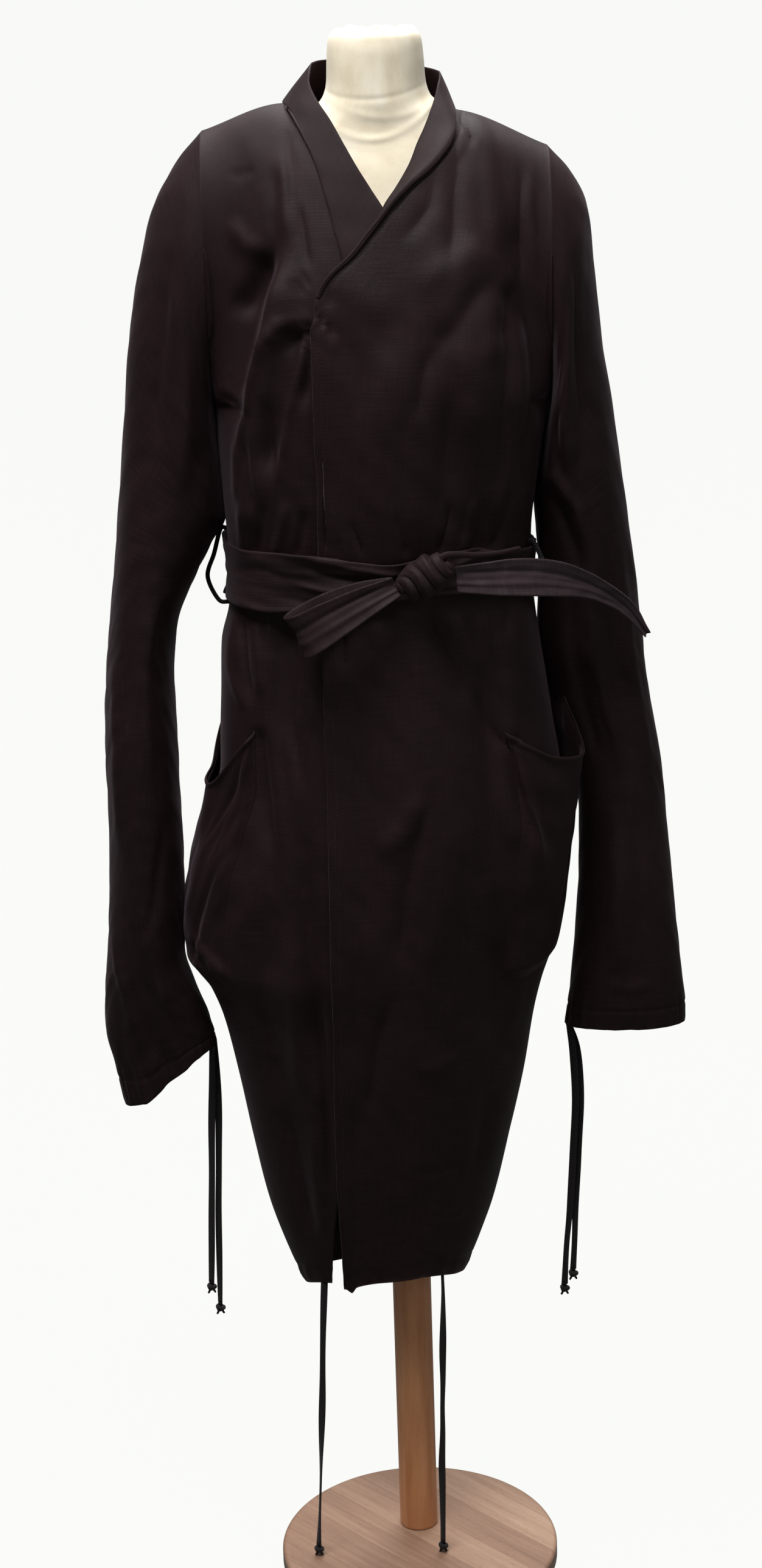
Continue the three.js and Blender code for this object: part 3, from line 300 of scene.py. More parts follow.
BOW_TAIL = numbered(
    "x y z wide_x wide_y wide_z",
    (69.2, -106, 1264, -1.5, 0, 13.5),
    (103, -102, 1262.5, -3, 1, 17),
    (140, -91, 1260, -2, 2, 19.5),
    (178, -70, 1251.5, 1, 3, 18),
    (212, -47, 1237, 3, 4, 12),
    (240, -28, 1218, 4, 3, 8),
    (262, -14, 1197, 4, 3, 5.5),
    (281, -5, 1168, 2, 1, 1.5),
)
# round: turns from the middle of the front, the back beginning at 1 or -1; rim: the mouth's height; open: how far it
# hangs off the body
POCKET_RIGHT = numbered(
    "round rim open",
    (-0.58, 1083, 0),
    (-0.7, 1040, 13),
    (-0.85, 1008, 15),
    (-1, 1014, 7),
    (-1.14, 1050, 4),
    (-1.26, 1086, 0),
)
POCKET_LEFT = numbered(
    "round rim open",
    (0.5, 1078, 0),
    (0.68, 1040, 15),
    (0.84, 1030, 27),
    (0.94, 1036, 25),
    (1, 1080, 12),
    (1.12, 1112, 0),
)
POCKET_BOTTOM = 782.0
FORM = Table(
    "z half front back",
    (985, 128, 80, 76),
    (996, 138, 86, 82),
    (1040, 146, 90, 84),
    (1100, 140, 84, 82),
    (1180, 122, 74, 72),
    (1250, 110, 68, 66),
    (1330, 120, 76, 72),
    (1440, 144, 96, 82),
    (1530, 156, 104, 84),
    (1600, 162, 90, 78),
    (1650, 163, 70, 64),
    (1684, 160, 60, 54),
    (1702, 146, 54, 44),
    (1714, 126, 50, 41),
    (1727, 98, 48, 40),
    (1737, 79.4, 48, 44),
    (1750, 60, 49, 51),
    (1768, 53, 48, 49),
    (1800, 51, 47, 48),
    (1815, 49, 45, 46),
    (1821, 38, 36, 36),
)


# ---- Creases ----


@dataclass(frozen=True)
class Crease:
    """A fold in cloth: a line of points, its half-width, and its height off the cloth (a trough is below zero).

    crisp is the power of its profile exp(-(distance / width) ** crisp): 2 is a soft roll, 1.2 a pressed crease.
    """

    line: tuple[tuple[float, float], ...]
    width: float
    height: float
    held: Held = NOWHERE
    crisp: float = 2.0

    def raised(self, u: Array, v: Array) -> Array:
        """Height at places (u, v): the profile across the line, eased to nothing at each end that isn't held."""
        line = np.array(self.line, float)
        lengths = np.hypot(*np.diff(line, axis=0).T)
        total = lengths.sum()
        best = np.full(np.shape(u), 1e9)
        along = np.zeros(np.shape(u))
        start = 0.0
        for (x0, z0), (x1, z1), length in zip(line[:-1], line[1:], lengths):
            dx, dz = (x1 - x0) / length, (z1 - z0) / length
            t = np.clip((u - x0) * dx + (v - z0) * dz, 0, length)
            distance = np.hypot(u - x0 - t * dx, v - z0 - t * dz)
            nearer = distance < best
            best = np.where(nearer, distance, best)
            along = np.where(nearer, start + t, along)
            start += length
        share = along / total
        first, last = self.held.value
        ease = np.maximum(first, smooth(0, 0.3, share)) * np.maximum(last, smooth(0, 0.3, 1 - share))
        return self.height * ease * np.exp(-((best / self.width) ** self.crisp))


def folds(*rows: tuple) -> tuple[Crease, ...]:
    """Creases from rows: the line's points, then half-width and height, then where it is held and how crisp it is."""
    counts = [sum(isinstance(part, tuple) for part in row) for row in rows]
    return tuple(Crease(row[:count], *row[count:]) for row, count in zip(rows, counts))


def smooth(low: float, high: float, at: Array | float) -> Array:
    """Rises from 0 at `low` to 1 at `high` with level ends."""
    t = np.clip((np.asarray(at, float) - low) / (high - low), 0, 1)
    return t * t * (3 - 2 * t)


def bell(off: Array, width: float) -> Array:
    """Bell curve: 1 where `off` is 0, falling on both sides."""
    return np.exp(-((off / width) ** 2))


def round_angles(count: int) -> Array:
    """Angles of `count` places evenly round a circle."""
    return np.linspace(0, 2 * math.pi, count, endpoint=False)


def waves(u: Array, v: Array, seed: int, short: float, long: float, count: int = 14) -> Array:
    """Uneven ground: a sum of `count` plane waves of random direction and length, about 1 at its highest.

    Args:
        u: first coordinate in millimetres.
        v: second coordinate in millimetres.
        seed: starts the random numbers, so that each run gives the same ground.
        short: shortest wavelength.
        long: longest wavelength.
        count: number of waves.

    Returns:
        Heights in the shape of `u`.
    """
    random = np.random.default_rng(seed)
    u, v = np.broadcast_arrays(u, v)
    ground = np.zeros(u.shape)
    for _ in range(count):
        angle, phase = random.uniform(0, 2 * math.pi, 2)
        length = random.uniform(short, long)
        ground += np.sin(2 * math.pi * (u * math.cos(angle) + v * math.sin(angle)) / length + phase)
    return ground / math.sqrt(2 * count)


# Main folds, the same as in the solids: x and z of both ends, half-width, height
MAIN_FOLDS: dict[Side, tuple[tuple[float, ...], ...]] = {
    Side.FRONT: (
        (-120, 1600, -168, 1450, 15, -11),
        (-104, 1560, -150, 1330, 17, 9),
        (-88, 1520, -120, 1400, 13, -7),
        (88, 1560, 84, 1500, 46, 12),
        (-96, 1570, -98, 1520, 44, 8),
        (140, 1600, 158, 1450, 15, -9),
        (60, 1500, 96, 1290, 18, -7),
        (10, 1480, 4, 1290, 20, 5),
        (-128, 1170, -150, 820, 20, -9),
        (100, 1180, 112, 700, 24, -8),
        (30, 1180, 20, 560, 26, 6),
        (-40, 1170, -38, 900, 20, -5),
        (-150, 720, -120, 480, 18, -6),
    ),
    Side.BACK: (
        (0, 1690, 0, 1290, 30, -7),
        (-90, 1600, -70, 1290, 26, 8),
        (92, 1590, 72, 1290, 26, 8),
        (-140, 1560, -150, 1420, 14, -9),
        (140, 1550, 146, 1420, 14, -9),
        (-100, 1180, -120, 640, 24, -9),
        (-20, 1180, -26, 560, 24, -7),
        (70, 1180, 74, 620, 24, -9),
        (30, 1180, 26, 700, 22, 7),
    ),
}
BROAD_WAVE, SHORT_WAVE = 1.5, 0.45  # heights of the uneven ground between the creases
BELT_OVER, BELT_UNDER = 1292, 1200  # heights between which the belt presses the fine creases flat
BELT_PRESS = 0.8  # the share of their height that it takes
FOLD_END = 1.6  # how softly a main fold ends, in half-widths
RELIEF = 1.35  # the fine creases' heights are taken this much higher than their tables say

# Creases of the wearer's left front, which lies on top
OVER_CREASES = folds(
    ((86, 1732), (93, 1718), (101, 1700), 3.6, -2.4, START, 1.6),
    ((84, 1735), (88, 1718), (84, 1690), 5, 2.2, START, 1.6),
    ((102, 1728), (112, 1690), (115, 1640), (114, 1590), 10, 2.6, START),
    ((87, 1722), (76, 1660), (72, 1600), (67, 1565), 9, -2.8, START),
    ((58, 1690), (52, 1650), (34, 1628), (14, 1612), 9, -2.2),
    ((30, 1568), (60, 1584), (90, 1600), (118, 1580), 14, 2.8),
    ((100, 1580), (86, 1550), (72, 1526), (52, 1500), 13, -3.6),
    ((126, 1572), (122, 1540), (114, 1500), 12, -4.2),
    ((110, 1570), (108, 1530), (100, 1480), 9, 2.6),
    ((47, 1512), (38, 1480), (30, 1430), 9, -2.6),
    ((122, 1536), (120, 1470), (117, 1400), (116, 1330), 9, -4.2),
    ((138, 1540), (140, 1480), (140, 1400), 8, 3.4),
    ((66, 1480), (60, 1400), (52, 1310), 12, -2.4),
    ((84, 1470), (86, 1390), (82, 1310), 11, 2.6),
    ((20, 1470), (12, 1400), (8, 1310), 11, -1.8),
    ((-8, 1500), (-18, 1400), (-14, 1300), 12, 1.8),
    ((-52, 1600), (-20, 1560), (20, 1540), 16, 2.2),
    ((-60, 1540), (-30, 1500), (-26, 1420), 14, -1.8),
    ((-70, 1545), (-56, 1532), (-40, 1526), 3.2, -2.0, START, 1.5),
    ((-71, 1536), (-58, 1520), (-48, 1505), 3.2, 1.6, START, 1.5),
    ((-71, 1572), (-58, 1562), (-44, 1558), 3.0, -1.6, START, 1.5),
    ((-68, 1420), (-69, 1360), (-67, 1300), 2.6, -1.8, END, 1.3),
    ((160, 1690), (156, 1640), (160, 1560), 7, 2.4),
    ((148, 1690), (146, 1630), (150, 1560), 7, -2.6),
    ((150, 1450), (140, 1400), (140, 1330), 7, -3.2),
    ((158, 1440), (156, 1370), (150, 1300), 6, 2.8),
    ((-40, 1330), (-36, 1310), (-30, 1294), 4, -1.6, END),
    ((4, 1340), (10, 1315), (14, 1292), 4.5, -2.0, END),
    ((64, 1345), (60, 1320), (52, 1292), 5, -2.4, END),
    ((92, 1350), (86, 1320), (78, 1290), 4.5, 2.0, END),
    ((126, 1350), (120, 1318), (112, 1288), 5, -2.6, END),
    ((-58, 1222), (-52, 1190), (-54, 1150), 5, -2.2, START),
    ((-20, 1228), (-14, 1190), (-18, 1140), 6, 1.8, START),
    ((36, 1232), (42, 1196), (62, 1156), (80, 1110), 8, -3.6, START),
    ((54, 1232), (70, 1190), (96, 1140), 7, 2.4, START),
    ((112, 1232), (121, 1224), (124, 1180), 4.5, -3.0, START),
    ((92, 1232), (98, 1196), (100, 1150), 6, 1.6, START),
    ((35, 1040), (18, 960), (6, 900), (-8, 800), 11, -4.0),
    ((-8, 800), (-28, 730), (-42, 650), (-46, 600), 10, -3.2),
    ((28, 1030), (8, 985), (-24, 946), 10, 2.8),
    ((62, 1010), (50, 920), (30, 800), 16, 2.6),
    ((122, 1062), (132, 1020), (146, 970), (163, 925), 10, -2.4, START),
    ((116, 1058), (118, 1000), (130, 930), 10, 2.6, START),
    ((118, 1066), (100, 1090), (84, 1130), 7, -2.4, START),
    ((124, 1070), (126, 1110), (120, 1150), 6, 2.4, START),
    ((110, 860), (104, 780), (92, 700), 15, -3.2),
    ((140, 840), (128, 760), (112, 680), 10, 2.6),
    ((100, 700), (86, 600), (66, 520), 11, -2.6),
    ((72, 720), (66, 620), (60, 520), 12, 2.2),
    ((6, 700), (30, 690), (60, 704), 8, 1.4),
    ((0, 560), (30, 552), (66, 562), 7, -1.5),
    ((16, 500), (44, 486), (70, 494), 7, 1.6),
    ((-10, 470), (10, 440), (46, 428), 8, -1.4),
    ((-60, 690), (-62, 560), (-70, 420), 9, -1.6),
)
# Creases of the wearer's right front, which lies underneath
UNDER_CREASES = folds(
    ((-94, 1722), (-92, 1684), (-90, 1640), 5.0, -1.4, START),
    ((-98, 1715), (-98, 1670), (-96, 1610), 8, 2.2),
    ((-106, 1700), (-110, 1650), (-112, 1615), 8, -1.8),
    ((-160, 1684), (-144, 1684), (-126, 1690), 3.5, -1.6, NOWHERE, 1.6),
    ((-162, 1640), (-140, 1614), (-112, 1604), 10, 4.2),
    ((-112, 1610), (-126, 1584), (-141, 1556), (-162, 1536), 11, -8.0),
    ((-101, 1612), (-104, 1583), (-122, 1518), (-140, 1474), (-154, 1432), 6, 5.2, NOWHERE, 1.5),
    ((-80, 1540), (-104, 1532), (-122, 1512), (-137, 1474), (-154, 1415), (-158, 1366), 5.0, 4.6, START, 1.5),
    ((-92, 1526), (-108, 1506), (-117, 1466), (-124, 1426), (-134, 1360), 8, -5.6, START),
    ((-79, 1523), (-89, 1488), (-103, 1444), (-113, 1388), (-120, 1359), 4.8, 4.8, START, 1.5),
    ((-76, 1530), (-78, 1496), (-88, 1445), 4.4, -5.2, START, 1.6),
    ((-78, 1580), (-84, 1572), (-96, 1568), 3.2, -2.4, START, 1.5),
    ((-76, 1600), (-80, 1630), (-84, 1656), 3.4, -2.0, START, 1.4),
    ((-128, 1470), (-126, 1420), (-122, 1360), 6, -3.0),
    ((-150, 1420), (-146, 1370), (-143, 1320), 6, -3.6),
    ((-158, 1418), (-162, 1380), (-164, 1330), 5, 3.2),
    ((-176, 1460), (-160, 1452), (-140, 1470), 5, 1.8, START, 1.6),
    ((-174, 1450), (-156, 1438), (-140, 1444), 5, -1.8, START, 1.6),
    ((-90, 1340), (-94, 1312), (-100, 1286), 4.5, -2.6, END),
    ((-108, 1350), (-116, 1316), (-124, 1286), 5, 2.6, END),
    ((-134, 1345), (-138, 1314), (-144, 1284), 5, -2.8, END),
    ((-156, 1340), (-160, 1312), (-162, 1282), 4.5, 2.2, END),
    ((-164, 1198), (-163, 1160), (-158, 1110), 5, -4.6, START),
    ((-150, 1200), (-148, 1160), (-146, 1120), 5, 2.6, START),
    ((-176, 1198), (-184, 1150), (-164, 1098), 5.5, 3.6, START),
    ((-112, 1206), (-110, 1170), (-114, 1100), (-104, 1010), 8, -5.0, START),
    ((-134, 1206), (-142, 1110), (-134, 1000), (-134, 920), 9, 3.8, START),
    ((-92, 1200), (-90, 1150), (-92, 1080), 6, 2.2, START),
    ((-108, 1020), (-106, 900), (-100, 780), (-98, 640), 12, -7.0),
    ((-152, 1076), (-150, 1010), (-148, 940), 8, -3.6, START),
    ((-168, 980), (-182, 900), (-204, 840), 12, -3.0),
    ((-186, 980), (-208, 900), (-226, 850), 10, 2.0),
    ((-236, 826), (-216, 810), (-196, 786), 6, 3.8, START),
    ((-240, 812), (-222, 796), (-206, 776), 5, -3.4, START),
    ((-168, 820), (-160, 720), (-150, 620), 12, -3.0),
    ((-128, 880), (-124, 760), (-122, 640), 10, 3.0),
    ((-98, 800), (-94, 700), (-92, 600), (-92, 470), 7, -4.0),
    ((-146, 640), (-130, 540), (-116, 440), 8, -2.4),
    ((-112, 620), (-108, 520), (-104, 430), 7, 2.0),
    ((-170, 700), (-156, 690), (-140, 700), 6, 1.2),
)
# Creases of the back: gathers above and below the belt, drags from the underarms and the hips
BACK_CREASES = folds(
    ((-60, 1735), (-66, 1690), (-80, 1620), 9, 2.6, START),
    ((52, 1730), (60, 1680), (76, 1610), 9, 2.4, START),
    ((-30, 1738), (-26, 1690), (-30, 1640), 8, -2.2, START),
    ((24, 1736), (22, 1690), (28, 1630), 8, -2.0, START),
    ((-176, 1470), (-140, 1500), (-100, 1560), 9, 3.4, START),
    ((-176, 1454), (-136, 1470), (-90, 1500), 8, -3.6, START),
    ((170, 1470), (140, 1500), (104, 1550), 9, 3.2, START),
    ((170, 1452), (132, 1462), (94, 1496), 8, -3.4, START),
    ((-150, 1430), (-140, 1350), (-130, 1280), 8, -3.2, END),
    ((-108, 1440), (-104, 1350), (-98, 1276), 9, 3.0, END),
    ((-50, 1430), (-44, 1350), (-40, 1274), 8, -3.0, END),
    ((-8, 1420), (-14, 1340), (-12, 1270), 8, 2.8, END),
    ((34, 1430), (30, 1350), (28, 1270), 8, -3.2, END),
    ((76, 1440), (74, 1350), (66, 1268), 9, 3.0, END),
    ((126, 1430), (116, 1350), (108, 1268), 8, -3.4, END),
    ((-140, 1192), (-146, 1120), (-156, 1000), 8, 4.0, START),
    ((-112, 1196), (-112, 1110), (-120, 980), 8, -4.2, START),
    ((-72, 1198), (-70, 1100), (-78, 960), 9, 3.8, START),
    ((-38, 1200), (-38, 1110), (-46, 940), 9, -4.0, START),
    ((-2, 1202), (2, 1110), (-2, 920), 10, 3.4, START),
    ((46, 1206), (44, 1110), (50, 960), 8, -3.6, START),
    ((92, 1210), (94, 1110), (104, 960), 9, 4.0, START),
    ((124, 1212), (128, 1120), (136, 1000), 8, -3.8, START),
    ((-140, 860), (-124, 700), (-104, 540), 14, 3.6),
    ((-60, 880), (-54, 720), (-48, 520), 15, -3.4),
    ((20, 860), (16, 700), (10, 500), 15, 3.2),
    ((100, 880), (88, 720), (66, 540), 14, -3.4),
    ((-80, 620), (-40, 604), (10, 616), 9, 1.8),
    ((-30, 480), (6, 466), (44, 476), 8, -1.8),
)
CREASES: dict[str, tuple[Crease, ...]] = {
    "over": OVER_CREASES,
    "under": UNDER_CREASES,
    "back": BACK_CREASES,
}
PRESSED_RIGHT = (
    (0, 0), (1, 1.5), (2, 2.6), (4, 3.2), (5, 3.4), (6, 0), (10.5, 0), (12, 6.5), (13, 7.5), (14, 2), (15, 0),
)
PRESSED_LEFT = (
    (0, 0), (1, 2), (2, 2.8), (3, 3), (4, 2.8), (5, 1), (6, 0), (7, 0), (8, 2.5), (9, 12), (10, 3), (11, 0),
)
RIGHT_SLEEVE_CREASES = folds(
    ((60, 20), (66, 120), (70, 240), 8, -3.2),
    ((100, 40), (104, 140), (96, 260), 9, 3.0),
    ((140, 40), (134, 120), (120, 200), 9, -4.2, START),
    ((180, 60), (150, 150), (130, 230), 8, 3.6, START),
    ((70, 300), (80, 420), (76, 560), 11, -2.8),
    ((110, 340), (104, 460), (108, 600), 12, 2.6),
    ((40, 420), (52, 540), (46, 680), 11, 2.2),
    ((130, 620), (112, 700), (92, 780), 9, -2.4),
    ((60, 720), (84, 800), (96, 880), 9, -3.0),
    ((30, 760), (60, 840), (70, 920), 8, 2.8),
    ((110, 800), (104, 880), (110, 960), 7, 2.6, END),
    ((84, 860), (90, 930), (86, 1000), 6, -3.0, END),
    ((54, 880), (60, 950), (64, 1010), 6, 2.4, END),
    ((250, 60), (256, 200), (250, 340), 11, -3.4),
    ((290, 80), (284, 220), (292, 360), 11, 3.2),
    ((220, 40), (224, 130), (236, 230), 9, 3.4, START),
    ((260, 400), (252, 560), (262, 720), 13, 2.8),
    ((300, 420), (306, 580), (298, 740), 13, -2.8),
    ((230, 700), (244, 820), (240, 920), 10, -2.8),
    ((270, 820), (262, 900), (270, 1000), 7, 2.8, END),
    ((240, 880), (246, 950), (242, 1010), 6, -2.4, END),
)
LEFT_SLEEVE_CREASES = folds(
    ((64, 16), (72, 110), (70, 230), 7, -3.4),
    ((92, 30), (98, 130), (100, 240), 9, 3.2),
    ((124, 80), (116, 160), (104, 240), 7, -3.6),
    ((150, 140), (120, 190), (96, 260), (88, 330), 6, 4.6, START, 1.6),
    ((160, 160), (128, 220), (104, 300), (96, 360), 6, -5.0, START, 1.6),
    ((60, 260), (66, 400), (62, 560), 9, -3.2),
    ((86, 300), (90, 440), (88, 600), 8, 3.4),
    ((108, 320), (112, 460), (118, 600), 8, -3.0),
    ((40, 300), (44, 460), (48, 620), 9, 2.4),
    ((70, 600), (78, 720), (84, 840), 11, -2.2),
    ((110, 640), (104, 760), (96, 860), 11, 2.2),
    ((60, 840), (90, 850), (120, 838), 7, 1.2),
    ((56, 900), (60, 960), (58, 1010), 6, 2.0, END),
    ((84, 880), (88, 950), (84, 1010), 6, -1.8, END),
    ((112, 890), (114, 950), (118, 1010), 6, 1.8, END),
    ((250, 50), (246, 190), (252, 330), 11, -3.2),
    ((290, 80), (296, 220), (288, 360), 11, 3.0),
    ((216, 40), (222, 130), (232, 230), 9, 3.2, START),
    ((262, 400), (270, 560), (260, 720), 13, 2.6),
    ((300, 420), (294, 580), (302, 740), 13, -2.6),
    ((232, 640), (240, 780), (236, 900), 10, -2.4),
    ((268, 840), (262, 920), (268, 1010), 7, 2.2, END),
)
RIGHT_POCKET_CREASES = folds(
    ((10, -4), (26, -60), (44, -130), 8, 1.6, START),
    ((16, -10), (44, -50), (74, -90), 7, -2.2, START),
    ((60, -60), (70, -130), (80, -190), 12, 1.2),
    ((96, -50), (100, -120), (96, -180), 10, -2.2),
    ((20, -120), (40, -180), (56, -240), 9, -2.6),
)
LEFT_POCKET_CREASES = folds(
    ((8, -4), (30, -60), (50, -130), 8, -1.4, START),
    ((4, -20), (16, -90), (34, -160), 8, 2.6, START),
    ((76, -40), (70, -110), (60, -190), 10, 2.4),
    ((110, -30), (100, -100), (92, -170), 8, -2.6),
)


# ---- The coat's cloth surface ----


def section(z: Array) -> tuple[Array, Array, Array]:
    """Level section of the body at height z: middle and half width in x, and its corner fullness."""
    right, left = BODY.read("right", z), BODY.read("left", z)
    return (left + right) / 2, (left - right) / 2, BODY.read("square", z)


def half_name(side: Side) -> str:
    """Name of the tables' column for a half of the coat."""
    return "front" if side is Side.FRONT else "back"


def top_edge(side: Side, across: Array) -> Array:
    """Top edge above a place of the chest: the shoulder line, with the neck's arc cut into the back."""
    x = MIDDLE_X + HALF_X * across
    near = np.maximum(0, 1 - ((x - NECK_X) / NECK_HALF) ** 2)
    if side is Side.FRONT:
        return np.stack([x, np.full_like(x, AXIS_Y), SHOULDER_LINE.read("z", x)], -1)
    return np.stack([x, AXIS_Y + NECK_DEPTH * np.sqrt(near), SHOULDER_LINE.read("z", x) - BACK_NECK_DROP * near], -1)


def plain(side: Side, across: Array, row: Array) -> Array:
    """Cloth before its folds.

    Up to the chest (row 0 to 1) a level section is a half oval, (1 - |across| ** p) ** (1 / p) deep. Above it (row 1
    to 2) a quarter turn carries each place from the chest to the shoulder line.

    Args:
        side: front or back.
        across: -1 at the right side seam, 1 at the left one.
        row: 0 at the hem, 1 at the chest, 2 at the shoulder line.

    Returns:
        Points, in the shape of `across` with x, y and z last.
    """
    across, row = np.broadcast_arrays(np.asarray(across, float), np.asarray(row, float))
    name = half_name(side)
    size = np.abs(across)
    hem = HEM.read(name, across)
    z = hem + (CHEST_Z - hem) * np.clip(row, 0, 1)
    middle, half, square = section(z)
    deep = np.maximum(0, 1 - size**square) ** (1 / square)
    lower = np.stack([middle + half * across, AXIS_Y + (BODY.read(name, z) - AXIS_Y) * deep, z], -1)
    rise = np.clip(row - 1, 0, 1)
    turn = rise * HALF_TURN
    top = top_edge(side, across)
    chest = float(BODY.read(name, CHEST_Z)) - AXIS_Y
    square = float(BODY.read("square", CHEST_Z))
    blend = smooth(0, TOP_BLEND, rise)
    full = np.maximum(0, 1 - size**square) ** (1 / square)
    shape = full + (1 - size**TOP_SQUARE - full) * blend
    arm = size**ARM_POWER
    y = top[..., 1] + (AXIS_Y + chest * shape - top[..., 1]) * np.cos(turn)
    y = y + side * ARMHOLE_DEPTH * np.sin(2 * turn) * arm
    z = CHEST_Z + (top[..., 2] - CHEST_Z) * np.sin(turn) ** (1 + arm)
    upper = np.stack([top[..., 0], y, z], -1)
    return np.where((row <= 1)[..., None], lower, upper)


def fold_height(side: Side, creases: Sequence[Crease], at: Array) -> Array:
    """Height of all the folds at places of the front or back, with the cloth pressed flat under the belt."""
    x, z = at[..., 0], at[..., 2]
    height = np.zeros(x.shape)
    for x0, z0, x1, z1, width, high in MAIN_FOLDS[side]:
        length = math.hypot(x1 - x0, z1 - z0)
        dx, dz = (x1 - x0) / length, (z1 - z0) / length
        along = (x - x0) * dx + (z - z0) * dz
        off = (x - x0) * dz - (z - z0) * dx
        past = np.maximum(0, np.maximum(-along, along - length))
        height += high * np.exp(-((off / width) ** 2) - (past / (FOLD_END * width)) ** 2)
    fine = RELIEF * sum((crease.raised(x, z) for crease in creases), np.zeros(x.shape))
    fine += BROAD_WAVE * waves(x, z * 0.55, 7 + side, 60, 150) + SHORT_WAVE * waves(x, z * 0.7, 11 + side, 18, 50)
    under_belt = smooth(BELT_OVER, BELT_OVER - 24, z) * smooth(BELT_UNDER, BELT_UNDER + 22, z)
    return height + fine * (1 - BELT_PRESS * under_belt)


def unit(vectors: Array) -> Array:
    """Vectors of length 1."""
    return vectors / np.maximum(np.linalg.norm(vectors, axis=-1, keepdims=True), 1e-12)


STEP = 0.01  # step in turn and row for a surface's direction


def facing(normals: Array, out: Array) -> Array:
    """Normals, turned round where they point against `out`."""
    return np.where((np.sum(normals * out, -1) < 0)[..., None], -normals, normals)


def normal_of(surface: Callable[[Array, Array], Array], a: Array, b: Array, limits: Sequence[float]) -> Array:
    """Direction square to a surface of two parameters, from small steps inside the parameters' limits."""
    low_a, high_a, low_b, high_b = limits
    over = surface(np.minimum(high_a, a + STEP), b) - surface(np.maximum(low_a, a - STEP), b)
    up = surface(a, np.minimum(high_b, b + STEP)) - surface(a, np.maximum(low_b, b - STEP))
    return unit(np.cross(over, up))


def cloth(side: Side, creases: Sequence[Crease], turn: Array, row: Array) -> tuple[Array, Array]:
    """Points and outward normals of the body's cloth with its folds.

    Args:
        side: front or back.
        creases: the panel's fine creases.
        turn: -1 to 1 round the half section; across is sin(turn * 90 degrees).
        row: 0 at the hem, 1 at the chest, 2 at the shoulder line.

    Returns:
        Points and unit normals.
    """
    turn, row = np.broadcast_arrays(np.asarray(turn, float), np.asarray(row, float))

    def still(u: Array, v: Array) -> Array:
        """The plain cloth at a turn and row."""
        return plain(side, np.sin(u * HALF_TURN), v)

    limits = (-1, 1, 0, 2)
    out = side * -1.0 * normal_of(still, turn, row, limits)
    centre = still(turn, row)
    inside = np.stack(
        [np.full(turn.shape, MIDDLE_X), np.full(turn.shape, AXIS_Y), np.minimum(1400, centre[..., 2] - 20)], -1
    )
    out = facing(out, centre - inside)

    def folded(u: Array, v: Array) -> Array:
        """The cloth with its folds, raised along the plain cloth's normal."""
        at = still(u, v)
        calm = (1 - np.abs(np.sin(u * HALF_TURN)) ** 8) * (1 - np.maximum(0, v - 1) ** 4)
        return at + out * (calm * fold_height(side, creases, at))[..., None]

    point = folded(turn, row)
    return point, facing(normal_of(folded, turn, row, limits), out)


def place_of(side: Side, x: Array, z: Array) -> tuple[Array, Array]:
    """Turn and row of the cloth where x and z are given."""
    x, z = np.broadcast_arrays(np.asarray(x, float), np.asarray(z, float))
    across_top = np.clip((x - MIDDLE_X) / HALF_X, -1, 1)
    share = np.clip((z - CHEST_Z) / (top_edge(side, across_top)[..., 2] - CHEST_Z), 0, 1)
    high_row = 1 + np.arcsin(share ** (1 / (1 + np.abs(across_top) ** ARM_POWER))) / HALF_TURN
    middle, half, _ = section(z)
    across_low = np.clip((x - middle) / half, -1, 1)
    hem = HEM.read(half_name(side), across_low)
    low_row = (z - hem) / (CHEST_Z - hem)
    high = z > CHEST_Z
    return np.arcsin(np.where(high, across_top, across_low)) / HALF_TURN, np.where(high, high_row, low_row)


def edge_turn(edge: Table, row: Array) -> Array:
    """The turn at which each row of the front crosses an edge given as x by height."""
    across = np.zeros(np.shape(row))
    for _ in range(30):
        at = plain(Side.FRONT, across, row)
        middle, half, _ = section(at[..., 2])
        low = np.asarray(row) <= 1
        middle, half = np.where(low, middle, MIDDLE_X), np.where(low, half, HALF_X)
        across = across + 0.7 * ((edge.read("x", at[..., 2]) - middle) / half - across)
    return np.arcsin(np.clip(across, -0.999, 0.999)) / HALF_TURN


def over_lift(turn: Array, row: Array) -> Array:
    """How far the over front's outer face stands off the base surface."""
    return (OVERLAP_LIFT + CLOTH) * (1 - smooth(0.5, 0.95, turn)) * (1 - smooth(1.72, 1.96, row))


# ---- Meshes ----


def refined(values: Array, places: Array, closed: bool = False) -> Array:
    """Cubic curve through the rows of `values` (a Catmull-Rom spline), read at `places` counted in rows."""
    count = len(values)
    if closed:
        index = np.floor(places).astype(int)
        p0, p1, p2, p3 = (values[(index + k) % count] for k in (-1, 0, 1, 2))
    else:
        ends = np.concatenate([[2 * values[0] - values[1]], values, [2 * values[-1] - values[-2]]])
        index = np.clip(np.floor(places).astype(int), 0, count - 2)
        p0, p1, p2, p3 = (ends[index + k] for k in (0, 1, 2, 3))
    t = (places - index).reshape((-1,) + (1,) * (values.ndim - 1))
    return 0.5 * (
        2 * p1 + (p2 - p0) * t + (2 * p0 - 5 * p1 + 4 * p2 - p3) * t**2 + (3 * p1 - p0 - 3 * p2 + p3) * t**3
    )


def refined_grid(points: Array, rows: int, columns: int, closed: bool = False) -> Array:
    """A coarse grid of points made finer by cubic curves both ways; `closed` joins its last row to the first."""
    last = len(points) if closed else len(points) - 1
    along = np.linspace(0, last, rows, endpoint=not closed)
    across = np.linspace(0, points.shape[1] - 1, columns)
    fine = refined(points, along, closed)
    return refined(fine.swapaxes(0, 1), across).swapaxes(0, 1)


